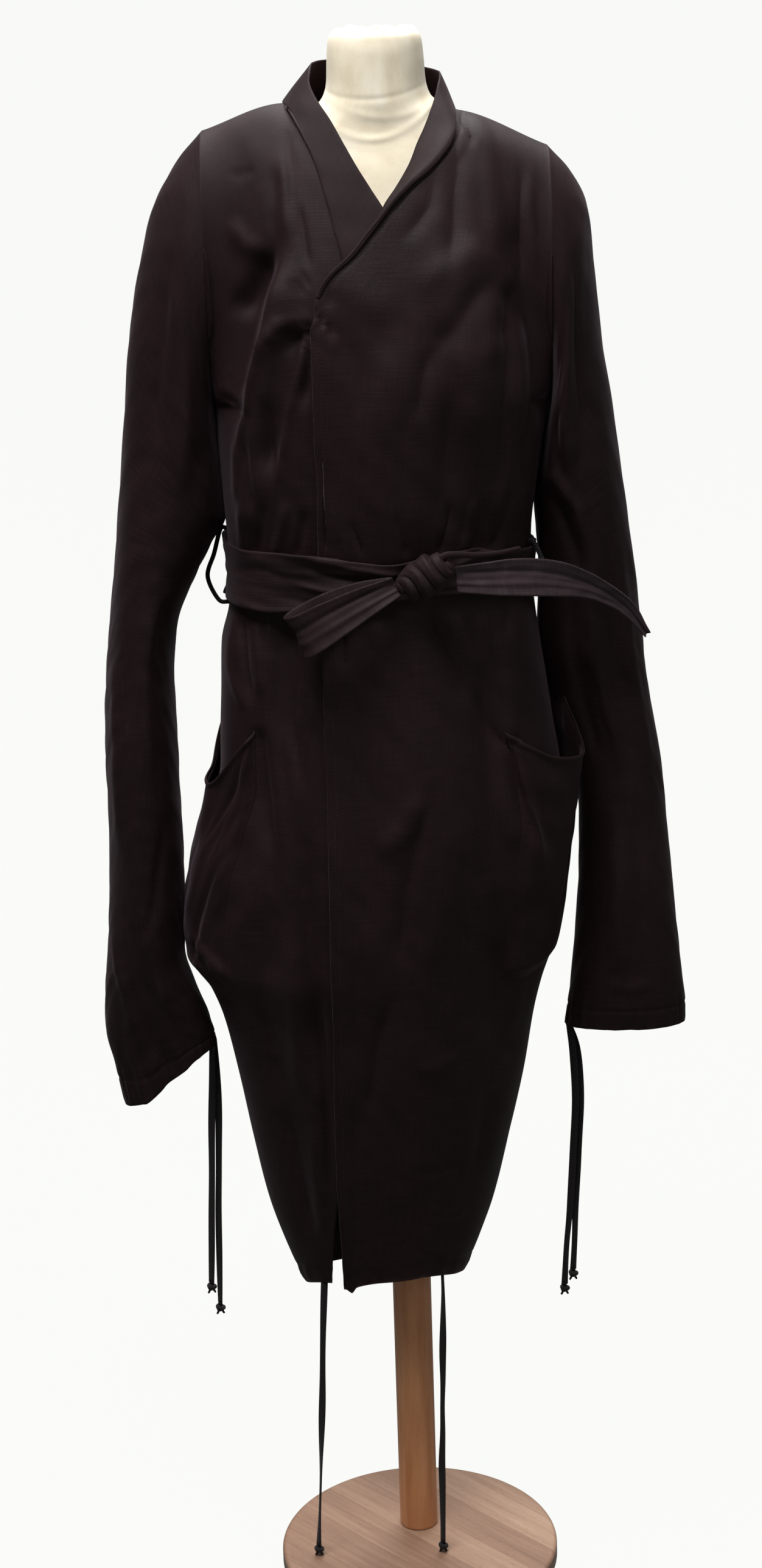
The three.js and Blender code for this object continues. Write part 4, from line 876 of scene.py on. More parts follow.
def grid_normals(points: Array, closed: bool = False) -> Array:
    """Unit normals of a grid of points; `closed` says that its columns run round."""
    up = np.gradient(points, axis=0)
    if closed:
        over = (np.roll(points, -1, 1) - np.roll(points, 1, 1)) / 2
    else:
        over = np.gradient(points, axis=1)
    return unit(np.cross(over, up))


def arc_lengths(points: Array, axis: int) -> Array:
    """Length along a grid's lines, from its first point, with zero kept at the middle of each line."""
    steps = np.linalg.norm(np.diff(points, axis=axis), axis=-1)
    total = np.cumsum(steps, axis)
    start = np.zeros_like(np.take(total, [0], axis))
    lengths = np.concatenate([start, total], axis)
    middle = np.take(lengths, [lengths.shape[axis] // 2], axis)
    return lengths - middle


def lengths_along(line: Array) -> Array:
    """Length along a line of points, from its first point to each of them."""
    return np.concatenate([[0], np.cumsum(np.linalg.norm(np.diff(line, axis=0), axis=1))])


def new_mesh(name: str, points: Array, faces: Array, corner_uv: Array | None = None) -> bpy.types.Object:
    """Makes a mesh object from points in millimetres, faces pointing out.

    Args:
        name: the piece's name.
        points: (n, 3) array.
        faces: (m, 4) array of vertex numbers; a repeated last number makes a triangle.
        corner_uv: (m, 4, 2) array of pattern places in metres.

    Returns:
        The object, smooth shaded, at the origin.
    """
    a, b, c, d = (points[faces[:, k]] for k in range(4))
    volume = np.sum(a * np.cross(b, c)) + np.sum(a * np.cross(c, d))
    if volume < 0:
        faces = faces[:, ::-1]
        corner_uv = None if corner_uv is None else corner_uv[:, ::-1]
    single = (faces[:, 2] == faces[:, 3]) | (faces[:, 0] == faces[:, 1])
    keep = np.ones(faces.shape, bool)
    keep[single & (faces[:, 2] == faces[:, 3]), 3] = False
    keep[single & (faces[:, 0] == faces[:, 1]), 0] = False
    sizes = keep.sum(1)
    mesh = bpy.data.meshes.new(name)
    mesh.vertices.add(len(points))
    mesh.vertices.foreach_set("co", (points * MM).astype(np.float32).ravel())
    mesh.loops.add(int(sizes.sum()))
    mesh.loops.foreach_set("vertex_index", faces[keep].astype(np.int32))
    mesh.polygons.add(len(faces))
    mesh.polygons.foreach_set("loop_start", np.concatenate([[0], np.cumsum(sizes)[:-1]]).astype(np.int32))
    mesh.polygons.foreach_set("loop_total", sizes.astype(np.int32))
    mesh.polygons.foreach_set("use_smooth", np.ones(len(faces), bool))
    if corner_uv is not None:
        layer = mesh.uv_layers.new(name="cloth")
        layer.data.foreach_set("uv", corner_uv[keep].astype(np.float32).ravel())
    mesh.update(calc_edges=True)
    mesh.validate()
    piece = bpy.data.objects.new(name, mesh)
    bpy.context.scene.collection.objects.link(piece)
    return piece


RIM_BULGE = 0.4


def shell(name: str, outer: Array, normals: Array, thick: float, around: bool = False) -> bpy.types.Object:
    """Thin cloth between a grid of points and the same grid moved in by `thick`, with a rounded rim.

    The rim has one more line of points, half way through the cloth, pushed out of the edge by RIM_BULGE of it.

    Args:
        name: the piece's name.
        outer: (rows, columns, 3) points of the outer face.
        normals: unit normals, pointing out.
        thick: the cloth's thickness in millimetres.
        around: the columns run round a tube.

    Returns:
        The piece.
    """
    rows, columns = outer.shape[:2]
    inner = outer - normals * thick
    closed = np.concatenate([outer, outer[:, :1]], 1) if around else outer
    u = arc_lengths(closed, 1)
    v = np.repeat(arc_lengths(closed, 0)[:, [closed.shape[1] // 2]], closed.shape[1], 1)
    plane = np.stack([u, v], -1) * MM
    number = np.arange(rows * columns).reshape(rows, columns)
    if around:
        number = np.concatenate([number, number[:, :1]], 1)

    def quads(of: Array) -> Array:
        """Four corners of each cell of a grid, in order."""
        cells = of[:-1, :-1], of[:-1, 1:], of[1:, 1:], of[1:, :-1]
        return np.stack([cell.reshape(-1, *of.shape[2:]) for cell in cells], 1)

    offset = rows * columns
    faces = [quads(number), quads(number + offset)[:, ::-1]]
    places = [quads(plane), quads(plane)[:, ::-1]]
    points = [outer.reshape(-1, 3), inner.reshape(-1, 3)]
    if around:
        ends = ((0, 1, False), (-1, -2, True))
        loops = [(number[at], plane[at], outer[beside], flip) for at, beside, flip in ends]
    else:
        ring = np.concatenate([number[0, :-1], number[:-1, -1], number[-1, :0:-1], number[:0:-1, 0]])
        near = np.clip(np.stack(np.unravel_index(ring, (rows, columns)), 1), 1, [rows - 2, columns - 2])
        line = np.append(ring, ring[0])
        loops = [(line, plane.reshape(-1, 2)[line], outer[near[:, 0], near[:, 1]], False)]
    count = 2 * offset
    for line, place, beside, flip in loops:
        edge = points[0][line[:-1]]
        down = normals.reshape(-1, 3)[line[:-1]] * (thick / 2)
        points.append(edge - down + unit(edge - beside) * (RIM_BULGE * thick))
        index = np.arange(len(line)) + count
        index[-1] = count
        for first, second in ((line, index), (index, line + offset)):
            strip = np.stack([first[:-1], second[:-1], second[1:], first[1:]], 1)
            uv = np.stack([place[:-1], place[:-1], place[1:], place[1:]], 1)
            faces.append(strip[:, ::-1] if flip else strip)
            places.append(uv[:, ::-1] if flip else uv)
        count += len(line) - 1
    return new_mesh(name, np.concatenate(points), np.concatenate(faces), np.concatenate(places))


def lofted(name: str, rings: Array) -> bpy.types.Object:
    """Closed solid through rings of points, each end closed by a fan to the ring's middle.

    Args:
        name: the piece's name.
        rings: (rings, sides, 3) points.

    Returns:
        The piece.
    """
    count, sides = rings.shape[:2]
    closed = np.concatenate([rings, rings[:, :1]], 1)
    u = np.repeat(arc_lengths(closed[[count // 2]], 1), count, 0)
    v = np.repeat(arc_lengths(rings, 0)[:, :1], sides + 1, 1)
    plane = np.stack([u, v], -1) * MM
    number = np.arange(count * sides).reshape(count, sides)
    number = np.concatenate([number, number[:, :1]], 1)
    faces = [np.stack([number[:-1, :-1], number[:-1, 1:], number[1:, 1:], number[1:, :-1]], -1).reshape(-1, 4)]
    uvs = [np.stack([plane[:-1, :-1], plane[:-1, 1:], plane[1:, 1:], plane[1:, :-1]], 2).reshape(-1, 4, 2)]
    caps = []
    for ring, flip in ((0, True), (-1, False)):
        pole = count * sides + len(caps)
        caps.append(rings[ring].mean(0))
        line, places = number[ring], plane[ring]
        hub = np.full(sides, pole)
        hub_place = (places[:-1] + places[1:]) / 2 + [0, 0.001]
        fan = np.stack([line[:-1], line[1:], hub, hub], 1)
        fan_uv = np.stack([places[:-1], places[1:], hub_place, hub_place], 1)
        faces.append(fan[:, [1, 0, 2, 3]] if flip else fan)
        uvs.append(fan_uv[:, [1, 0, 2, 3]] if flip else fan_uv)
    points = np.concatenate([rings.reshape(-1, 3), np.array(caps)])
    return new_mesh(name, points, np.concatenate(faces), np.concatenate(uvs))


def spline(points: Array, step: float) -> Array:
    """Smooth curve through points, cut into steps of about `step` millimetres."""
    fine = refined(points, np.linspace(0, len(points) - 1, 40 * len(points)))
    lengths = lengths_along(fine)
    count = max(4, int(round(lengths[-1] / step)) + 1)
    at = np.linspace(0, lengths[-1], count)
    return np.stack([np.interp(at, lengths, fine[:, k]) for k in range(3)], 1)


def tube_rings(path: Array, radius: Array | float, sides: int) -> Array:
    """Rings of points square to a path, turned as little as possible from one to the next."""
    ahead = unit(np.gradient(path, axis=0))
    first = np.cross(ahead[0], [0.3, 1.0, 0.2])
    across = [unit(first)]
    for direction in ahead[1:]:
        moved = across[-1] - direction * np.dot(across[-1], direction)
        across.append(unit(moved))
    across = np.array(across)
    other = np.cross(ahead, across)
    angle = round_angles(sides)
    radius = np.broadcast_to(radius, (len(path),))[:, None, None]
    circle = across[:, None] * np.cos(angle)[None, :, None] + other[:, None] * np.sin(angle)[None, :, None]
    return path[:, None] + radius * circle


def tube(name: str, path: Array, radius: Array | float, sides: int = 12) -> bpy.types.Object:
    """Round tube along a path, closed at both ends."""
    return lofted(name, tube_rings(path, radius, sides))


def joined(name: str, parts: Sequence[bpy.types.Object]) -> bpy.types.Object:
    """Several mesh objects made one, with the first one's materials."""
    with bpy.context.temp_override(active_object=parts[0], selected_editable_objects=list(parts)):
        bpy.ops.object.join()
    parts[0].name = name
    return parts[0]


# ---- Finishes ----


def linear(colour: str) -> tuple[float, float, float, float]:
    """Linear colour from an sRGB hex value such as "#a0b0c0"."""
    values = [int(colour[k : k + 2], 16) / 255 for k in (1, 3, 5)]
    return (*[v / 12.92 if v <= 0.04045 else ((v + 0.055) / 1.055) ** 2.4 for v in values], 1.0)


class Nodes:
    """Builds a material's node tree."""

    def __init__(self, name: str) -> None:
        """Starts a material with its shader and output."""
        self.material = bpy.data.materials.new(name)
        self.material.use_nodes = True
        self.tree = self.material.node_tree
        self.tree.nodes.clear()
        self.shader = self.add("ShaderNodeBsdfPrincipled")
        self.add("ShaderNodeOutputMaterial", inputs={"Surface": self.shader.outputs[0]})

    def add(self, kind: str, settings: dict | None = None, inputs: dict | None = None) -> bpy.types.Node:
        """Adds a node.

        Args:
            kind: Blender's name for the node.
            settings: attributes to set on it.
            inputs: socket name or number to a value or to the output socket that feeds it.

        Returns:
            The node.
        """
        made = self.tree.nodes.new(kind)
        for key, value in (settings or {}).items():
            setattr(made, key, value)
        self.feed(made, inputs or {})
        return made

    def feed(self, to: bpy.types.Node, inputs: dict) -> None:
        """Sets or links a node's sockets."""
        for key, value in inputs.items():
            if isinstance(value, bpy.types.NodeSocket):
                self.tree.links.new(value, to.inputs[key])
            else:
                to.inputs[key].default_value = value

    def ramp(self, fac: bpy.types.NodeSocket, stops: Sequence[tuple[float, str]]) -> bpy.types.NodeSocket:
        """Colours by a value: stops are a place from 0 to 1 and a hex colour."""
        made = self.add("ShaderNodeValToRGB", inputs={"Fac": fac})
        elements = made.color_ramp.elements
        while len(elements) < len(stops):
            elements.new(0.5)
        for element, (place, colour) in zip(elements, stops):
            element.position, element.color = place, linear(colour)
        return made.outputs["Color"]

    def scaled(self, source: bpy.types.NodeSocket, scale: tuple[float, float, float], turn: float = 0.0):
        """Pattern places stretched by `scale` after a turn in degrees round Z."""
        inputs = {"Vector": source, "Rotation": (0, 0, math.radians(turn)), "Scale": scale}
        return self.add("ShaderNodeMapping", inputs=inputs).outputs[0]

    def noise(self, place: bpy.types.NodeSocket, scale: float, detail: float = 3.0, rough: float = 0.5):
        """Value of a noise pattern; `scale` is features to a metre."""
        inputs = {"Vector": place, "Scale": scale, "Detail": detail, "Roughness": rough}
        return self.add("ShaderNodeTexNoise", inputs=inputs).outputs[0]

    def bump(self, height: bpy.types.NodeSocket, strength: float, distance: float) -> bpy.types.NodeSocket:
        """Normals bent by a height pattern; distance is in metres."""
        inputs = {"Strength": strength, "Distance": distance, "Height": height}
        return self.add("ShaderNodeBump", inputs=inputs).outputs[0]

    def sum_of(self, *parts: tuple[bpy.types.NodeSocket, float]) -> bpy.types.NodeSocket:
        """Weighted sum of values."""
        total: bpy.types.NodeSocket | float = 0.0
        for value, weight in parts:
            settings = {"operation": "MULTIPLY_ADD"}
            total = self.add("ShaderNodeMath", settings, {0: value, 1: weight, 2: total}).outputs[0]
        return total


@dataclass(frozen=True)
class Linen:
    """Flax linen, plain weave, piece dyed and washed: matt, with slubs both ways and a faint bloom at grazing light.

    Threads lie 0.55 mm apart; the weave is drawn at 1.1 mm, coarse enough to show.
    """

    name: str
    dark: str
    body: str
    light: str
    sheen: float
    thread: float = 1.1
    relief: float = 0.5

    def build(self) -> bpy.types.Material:
        """Makes the material."""
        n = Nodes(self.name)
        place = n.add("ShaderNodeUVMap", {"uv_map": "cloth"}).outputs[0]
        warp = n.noise(n.scaled(place, (900, 22, 1)), 1.0, 2)
        weft = n.noise(n.scaled(place, (22, 900, 1)), 1.0, 2)
        cloud = n.noise(place, 9.0, 4, 0.6)
        patch = n.noise(place, 45.0, 3, 0.6)
        tone = n.sum_of((warp, 0.30), (weft, 0.34), (cloud, 0.24), (patch, 0.12))
        colour = n.ramp(tone, ((0.30, self.dark), (0.50, self.body), (0.72, self.light)))
        threads = []
        for direction in ("X", "Y"):
            settings = {"wave_type": "BANDS", "bands_direction": direction, "wave_profile": "SIN"}
            inputs = {"Vector": place, "Scale": 1 / (self.thread * MM) / 3.18, "Distortion": 0.6, "Detail": 1.0}
            inputs["Detail Scale"] = 3.0
            threads.append(n.add("ShaderNodeTexWave", settings, inputs).outputs["Fac"])
        weave = n.add("ShaderNodeMath", {"operation": "MULTIPLY"}, {0: threads[0], 1: threads[1]}).outputs[0]
        height = n.sum_of((weave, 0.5), (warp, 0.45), (weft, 0.5), (patch, 0.5))
        bump = n.bump(height, self.relief, 0.0006)
        n.feed(n.shader, {"Base Color": colour, "Normal": bump, "Roughness": 0.58, "IOR": 1.5})
        n.feed(n.shader, {"Sheen Weight": self.sheen, "Sheen Roughness": 0.3, "Specular IOR Level": 0.15})
        n.feed(n.shader, {"Sheen Tint": linear("#cdb8c6")})
        return n.material


@dataclass(frozen=True)
class Jersey:
    """Single-knit cotton jersey, stretched: cream, matt, with fine upright ribs 1.2 mm apart, drawn at 2 mm."""

    name: str = "cotton jersey"
    shade: str = "#d9cbb0"
    body: str = "#e7dcc4"
    light: str = "#f0e8d6"

    def build(self) -> bpy.types.Material:
        """Makes the material."""
        n = Nodes(self.name)
        place = n.add("ShaderNodeUVMap", {"uv_map": "cloth"}).outputs[0]
        cloud = n.noise(place, 14.0, 4, 0.55)
        fine = n.noise(n.scaled(place, (400, 400, 1)), 1.0, 2)
        tone = n.sum_of((cloud, 0.88), (fine, 0.12))
        colour = n.ramp(tone, ((0.32, self.shade), (0.5, self.body), (0.7, self.light)))
        settings = {"wave_type": "BANDS", "bands_direction": "X", "wave_profile": "SIN"}
        rib = n.add("ShaderNodeTexWave", settings, {"Vector": place, "Scale": 500 / 3.18, "Distortion": 0.5})
        height = n.sum_of((rib.outputs["Fac"], 0.5), (fine, 0.5))
        bump = n.bump(height, 0.25, 0.0004)
        n.feed(n.shader, {"Base Color": colour, "Normal": bump, "Roughness": 0.9, "IOR": 1.5})
        n.feed(n.shader, {"Sheen Weight": 0.15, "Sheen Roughness": 0.5, "Specular IOR Level": 0.2})
        return n.material


@dataclass(frozen=True)
class Beech:
    """Steamed beech boards glued edge to edge, turned and varnished: pinkish tan, short dark flecks, satin gloss.

    across: width of a board in metres; turn: degrees from X to the boards' long direction; upright: grain runs up Z.
    """

    name: str
    board: float
    turn: float
    tones: tuple[str, str, str, str]
    upright: bool = False

    def build(self) -> bpy.types.Material:
        """Makes the material."""
        n = Nodes(self.name)
        place = n.add("ShaderNodeTexCoord").outputs["Object"]
        if self.upright:
            place = n.add("ShaderNodeMapping", inputs={"Vector": place, "Rotation": (0, HALF_TURN, 0)}).outputs[0]
        else:
            place = n.scaled(place, (1, 1, 1), -self.turn)
        split = n.add("ShaderNodeSeparateXYZ", inputs={0: place})
        board = n.add("ShaderNodeMath", {"operation": "DIVIDE"}, {0: split.outputs[1], 1: self.board}).outputs[0]
        number = n.add("ShaderNodeMath", {"operation": "FLOOR"}, {0: board}).outputs[0]
        chance = n.add("ShaderNodeTexWhiteNoise", {"noise_dimensions": "1D"}, {"W": number}).outputs["Value"]
        shift = n.add("ShaderNodeCombineXYZ", inputs={0: chance, 1: number, 2: chance}).outputs[0]
        moved = n.add("ShaderNodeVectorMath", {"operation": "ADD"}, {0: place, 1: shift}).outputs[0]
        grain = n.noise(n.scaled(moved, (7, 150, 60)), 1.0, 5, 0.6)
        figure = n.noise(n.scaled(moved, (3, 26, 14)), 1.0, 3, 0.5)
        fleck = n.noise(n.scaled(moved, (110, 900, 500)), 1.0, 1)
        tone = n.sum_of((grain, 0.45), (figure, 0.35), (chance, 0.20))
        wood = n.ramp(tone, tuple(zip((0.28, 0.46, 0.60, 0.80), self.tones)))
        flecks = n.ramp(fleck, ((0.60, "#ffffff"), (0.70, "#b08c6e")))
        mixed = n.add("ShaderNodeMix", {"data_type": "RGBA", "blend_type": "MULTIPLY"})
        n.feed(mixed, {0: 0.12 if self.upright else 0.3, 6: wood, 7: flecks})
        edge = n.add("ShaderNodeMath", {"operation": "FRACT"}, {0: board}).outputs[0]
        joint = n.add("ShaderNodeMath", {"operation": "PINGPONG"}, {0: edge, 1: 0.5}).outputs[0]
        line = n.ramp(joint, ((0.004, "#7a5238"), (0.016, "#ffffff")))
        lined = n.add("ShaderNodeMix", {"data_type": "RGBA", "blend_type": "MULTIPLY"})
        n.feed(lined, {0: 0.0 if self.upright else 0.25, 6: mixed.outputs[2], 7: line})
        bump = n.bump(grain, 0.12, 0.0003)
        n.feed(n.shader, {"Base Color": lined.outputs[2], "Normal": bump, "Roughness": 0.42, "IOR": 1.5})
        n.feed(n.shader, {"Coat Weight": 0.25, "Coat Roughness": 0.25})
        return n.material


@dataclass(frozen=True)
class Braid:
    """Braided cotton cord, dyed near black: matt, its strands crossing every 3 mm."""

    name: str = "braided cotton cord"

    def build(self) -> bpy.types.Material:
        """Makes the material."""
        n = Nodes(self.name)
        place = n.add("ShaderNodeUVMap", {"uv_map": "cloth"}).outputs[0]
        strands = []
        for turn in (35, -35):
            settings = {"wave_type": "BANDS", "bands_direction": "Y", "wave_profile": "SIN"}
            inputs = {"Vector": n.scaled(place, (1, 1, 1), turn), "Scale": 330 / 3.18, "Distortion": 0.3}
            strands.append(n.add("ShaderNodeTexWave", settings, inputs).outputs["Fac"])
        height = n.sum_of((strands[0], 0.5), (strands[1], 0.5))
        # The colour follows the strands' height: darker in the grooves between strands and lighter on their tops,
        # painted shade in the grooves.
        colour = n.ramp(height, ((0.2, "#0d0b0c"), (0.6, "#1b1719"), (0.9, "#2a2427")))
        bump = n.bump(height, 0.5, 0.0006)
        n.feed(n.shader, {"Base Color": colour, "Normal": bump, "Roughness": 0.85, "IOR": 1.5})
        n.feed(n.shader, {"Sheen Weight": 0.1, "Specular IOR Level": 0.2})
        return n.material


COAT_LINEN = Linen("aubergine linen", "#130a0b", "#1e1112", "#2c1b1d", 0.10)
BELT_LINEN = Linen("pressed aubergine linen", "#180f10", "#231718", "#332426", 0.08)
# The tail's linen is the sash's cloth with its tones painted lighter: a painted highlight where the tail bulges
# forward into the light.
TAIL_LINEN_PAINTED_LIGHTER = Linen("aubergine linen painted lighter", "#21171a", "#352a2e", "#4d4146", 0.12)
FOOT_TONES = ("#7a5c4b", "#8e6f5b", "#9d7e69", "#ae927a")
POLE_TONES = ("#8a5535", "#b27549", "#c98d60", "#d8a57d")
STITCH = Linen("sewing thread", "#1a1214", "#2a1f21", "#382c2f", 0.05, 2.0)


def dress(piece: bpy.types.Object, material: bpy.types.Material, slot: str, *nodes: str) -> bpy.types.Object:
    """Gives a piece its material and the body it rides on, and hides the CAD nodes that it stands for."""
    piece.data.materials.clear()
    piece.data.materials.append(material)
    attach(piece, "root")
    if nodes:
        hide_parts(*nodes)
    area = sum(face.area for face in piece.data.polygons) / 2
    LOG.info("%s: %d faces, %.4f square metres a side", piece.name, len(piece.data.polygons), area)
    return piece


# ---- Sub-assemblies ----


@dataclass
class Drawstrings:
    """Free ends of the braided drawstrings: two from each cuff and two from the hem, each knotted at its end."""

    material: bpy.types.Material
    diameter: float = 4.6
    half_width: float = 4.2
    half_thickness: float = 1.35
    knot_length: float = 12.2
    step: float = 6.0
    routes: dict[str, tuple[tuple[float, float, float], ...]] = field(
        default_factory=lambda: {
            "cuff_cord_right_a": (
                (-225, 30.5, 673.6), (-227, 33, 640), (-230, 37, 580), (-233, 38, 520), (-236, 39, 460),
                (-239, 40, 400), (-241, 40, 362),
            ),
            "cuff_cord_right_b": (
                (-223.2, 46, 675.3), (-222, 45, 640), (-222, 44, 580), (-225, 43, 520), (-228, 43, 460),
                (-230, 43, 400), (-232, 43, 332),
            ),
            "cuff_cord_left_a": (
                (193.9, 52, 678.5), (198, 54, 640), (200, 56, 580), (197, 56, 510), (193, 57, 440),
                (188, 57, 390), (185, 57, 336),
            ),
            "cuff_cord_left_b": (
                (192.9, 66, 678.2), (204, 65, 640), (207, 64, 580), (204, 64, 510), (200, 63, 440),
                (198, 64, 390), (196, 64, 352),
            ),
            "hem_cord_right": (
                (-104, -9.3, 383.3), (-106, -13, 350), (-109, -17, 290), (-112, -20, 230), (-116, -24, 150),
                (-120, -27, 90), (-123, -28, 37),
            ),
            "hem_cord_left": (
                (36, -23.1, 395.9), (36, -22, 360), (34, -21, 290), (32, -22, 220), (30, -24, 150),
                (29, -27, 90), (28, -29, 37),
            ),
        }
    )

    def build(self) -> None:
        """Makes each cord and its knot."""
        for name, route in self.routes.items():
            path = spline(np.array(route, float), self.step)
            wobble = np.sin(np.linspace(0, 1, len(path)) * math.pi)[:, None] * waves(
                np.arange(len(path)) * self.step, np.zeros(len(path)), len(name) + len(route), 60, 160, 5
            )[:, None]
            path = path + wobble * np.array([0.5, 0.5, 0.0])
            braid = lofted(name + "_braid", self.rings(path, len(route) + len(name)))
            cord = dress(braid, self.material, "string", name)
            knot = self.knot(name, path[-1])

    def rings(self, path: Array, seed: int) -> Array:
        """Rings of the flat braid: an oval section that twists to and fro along the cord."""
        round_ = tube_rings(path, 1.0, 16) - path[:, None]
        across, other = round_[:, :1], round_[:, 4:5]
        down = np.arange(len(path))[:, None, None] * self.step
        twist = 0.5 * np.sin(down / 47 + seed) + 0.7 * np.sin(down / 83 + 2 * seed)
        wide = across * np.cos(twist) + other * np.sin(twist)
        thin = other * np.cos(twist) - across * np.sin(twist)
        angle = round_angles(16)[None, :, None]
        offset = wide * (self.half_width * np.cos(angle)) + thin * (self.half_thickness * np.sin(angle))
        return path[:, None] + offset

    def knot(self, name: str, end: Array) -> bpy.types.Object:
        """Overhand knot: the cord wound twice round its own end, and two short tips below it."""
        t = np.linspace(0, 1, 48)
        angle = 2 * math.pi * 1.9 * t
        reach = 3.5 * np.sin(math.pi * np.clip(t * 1.04, 0, 1)) + 0.5
        high = (0.5 - t) * self.knot_length * 0.55
        coil = np.stack([reach * np.cos(angle), reach * np.sin(angle), high - self.knot_length * 0.42], 1) + end
        parts = [tube(name + "_tied", coil, 2.1 + 0.5 * np.sin(math.pi * t), 12)]
        for side in (-1, 1):
            tip = np.array([(side * 0.8, 0, -6.5), (side * 2.4, 0.6 * side, -10), (side * 4.2, 0.8 * side, -13.5)])
            path = spline(tip, 1.0) + end
            parts.append(tube(name + "_tip", path, np.linspace(1.7, 1.2, len(path)), 10))
        return dress(joined(name + "_tied", parts), self.material, "string")


@dataclass
class Panels:
    """The coat's body: back, under front and over front, each one layer of linen."""

    material: bpy.types.Material
    thread: bpy.types.Material
    thick: float = 1.7
    low_rows: int = 190
    high_rows: int = 64
    fold_over: float = 9.0
    hem_casing: float = 24.0

    def rows(self) -> Array:
        """Row numbers from hem to top edge, closer together where the shoulder rounds over."""
        low = np.linspace(0, 1, self.low_rows, endpoint=False)
        return np.concatenate([low, 1 + np.linspace(0, 1, self.high_rows)])

    def grid(
        self, side: Side, creases: str, columns: int, first: Array, last: Array
    ) -> tuple[Array, Array, Array, Array]:
        """Grid of a panel between two turns given by row.

        Returns:
            Points, normals, turns and rows.
        """
        row = np.repeat(self.rows()[:, None], columns, 1)
        turn = first[:, None] + (last - first)[:, None] * np.linspace(0, 1, columns)[None, :]
        point, normal = cloth(side, CREASES[creases], turn, row)
        return point, normal, turn, row

    def casing(self, point: Array, normal: Array) -> Array:
        """Puckers the hem's casing: uneven ripples square to the hem, between its edge and its line of stitches."""
        up = arc_lengths(point, 0)
        up = up - up[:1]
        round_ = arc_lengths(point, 1)
        ripple = 0.7 * np.sin(round_ / 5.3 + 1.6 * np.sin(round_ / 23)) + 0.5 * np.sin(round_ / 3.1)
        inside = smooth(0, 5, up) * (1 - smooth(self.hem_casing - 5, self.hem_casing + 14, up))
        groove = bell(up - self.hem_casing, 1.6)
        swell = bell(up - self.hem_casing / 2, 8)
        return point + normal * (0.55 * ripple * inside - 0.8 * groove + 0.9 * swell)[..., None]

    def finish(self, piece: bpy.types.Object, flat: tuple[float, float], area: float, *nodes: str) -> None:
        """Dresses a panel."""
        dress(piece, self.material, "linen", *nodes)

    def back(self) -> None:
        """The back, in one piece from side seam to side seam."""
        rows = self.rows()
        point, normal, _, _ = self.grid(Side.BACK, "back", 150, np.full(len(rows), -1.0), np.full(len(rows), 1.0))
        point = self.casing(point, normal)
        self.finish(shell("back_panel", point, normal, self.thick), (0.60, 1.40), 0.66, "back_skirt", "back_bodice")

    def under(self) -> None:
        """The wearer's right front, wrapped under."""
        rows = self.rows()
        last = edge_turn(UNDER_EDGE, rows)
        point, normal, _, _ = self.grid(Side.FRONT, "under", 96, np.full(len(rows), -1.0), last)
        point = self.casing(point, normal)
        piece = shell("right_front_panel", point, normal, self.thick)
        self.finish(piece, (0.42, 1.40), 0.36, "front_right_under_skirt", "front_right_under_bodice")

    def over(self) -> None:
        """The wearer's left front, wrapped over, with its edge turned under and stitched."""
        rows = self.rows()
        first = edge_turn(OVER_EDGE, rows)
        point, normal, turn, row = self.grid(Side.FRONT, "over", 120, first, np.full(len(rows), 1.0))
        point = point + normal * over_lift(turn, row)[..., None]
        in_from_edge = arc_lengths(point, 1)
        in_from_edge = in_from_edge - in_from_edge[:, :1]
        rolled = 0.9 * bell(in_from_edge, 3.0) - 0.7 * bell(in_from_edge - self.fold_over, 1.5)
        point = self.casing(point + normal * rolled[..., None], normal)
        piece = shell("left_front_panel", point, normal, self.thick + 0.3)
        self.finish(piece, (0.42, 1.40), 0.40, "front_left_over_skirt", "front_left_over_bodice")
        self.stitches(point, normal, in_from_edge)

    def stitches(self, point: Array, normal: Array, in_from_edge: Array) -> None:
        """Row of stitches along the over front's turned edge, 3 mm long and 1 mm apart."""
        columns = np.argmin(np.abs(in_from_edge - self.fold_over), 1)
        index = np.arange(len(point))
        line = point[index, columns]
        out = normal[index, columns]
        stitch_row("edge_stitches", line[3:-14], out[3:-14], self.thread)


def stitch_row(name: str, line: Array, out: Array, material: bpy.types.Material) -> bpy.types.Object:
    """Stitches along a line on cloth: each a six-sided spindle 3 mm long, sunk by half its thickness.

    Args:
        name: the piece's name.
        line: points along the seam.
        out: the cloth's normals there.
        material: the thread.

    Returns:
        One piece with all the stitches.
    """
    lengths = lengths_along(line)
    starts = np.arange(2.0, lengths[-1] - 4.0, 4.0)
    knots = starts[:, None] + np.array([0.0, 0.5, 1.5, 2.5, 3.0])[None, :]
    middle = np.stack([np.interp(knots, lengths, line[:, k]) for k in range(3)], -1)
    up = unit(np.stack([np.interp(knots, lengths, out[:, k]) for k in range(3)], -1))
    ahead = unit(middle[:, -1] - middle[:, 0])[:, None]
    side = unit(np.cross(ahead, up))
    radius = np.array([0.05, 0.34, 0.42, 0.34, 0.05])[None, :, None, None]
    angle = round_angles(6)[None, None, :, None]
    centre = middle + up * 0.12
    ring = centre[:, :, None] + radius * (np.cos(angle) * side[:, :, None] + np.sin(angle) * up[:, :, None])
    count = len(starts)
    number = np.arange(count * 5 * 6).reshape(count, 5, 6)
    turned = np.roll(number, -1, 2)
    faces = np.stack([number[:, :-1], turned[:, :-1], turned[:, 1:], number[:, 1:]], -1).reshape(-1, 4)
    for at, way in ((0, -1), (4, 1)):
        for corners in ((0, 1, 2), (3, 4, 5), (0, 2, 3, 5)):
            order = corners[::way]
            faces = np.concatenate([faces, number[:, at][:, [*order, order[-1]][:4]]])
    uv = np.zeros((len(faces), 4, 2))
    uv[..., 0] = [0, 0.001, 0.001, 0]
    piece = new_mesh(name, ring.reshape(-1, 3), faces, uv)
    return dress(piece, material, "string")


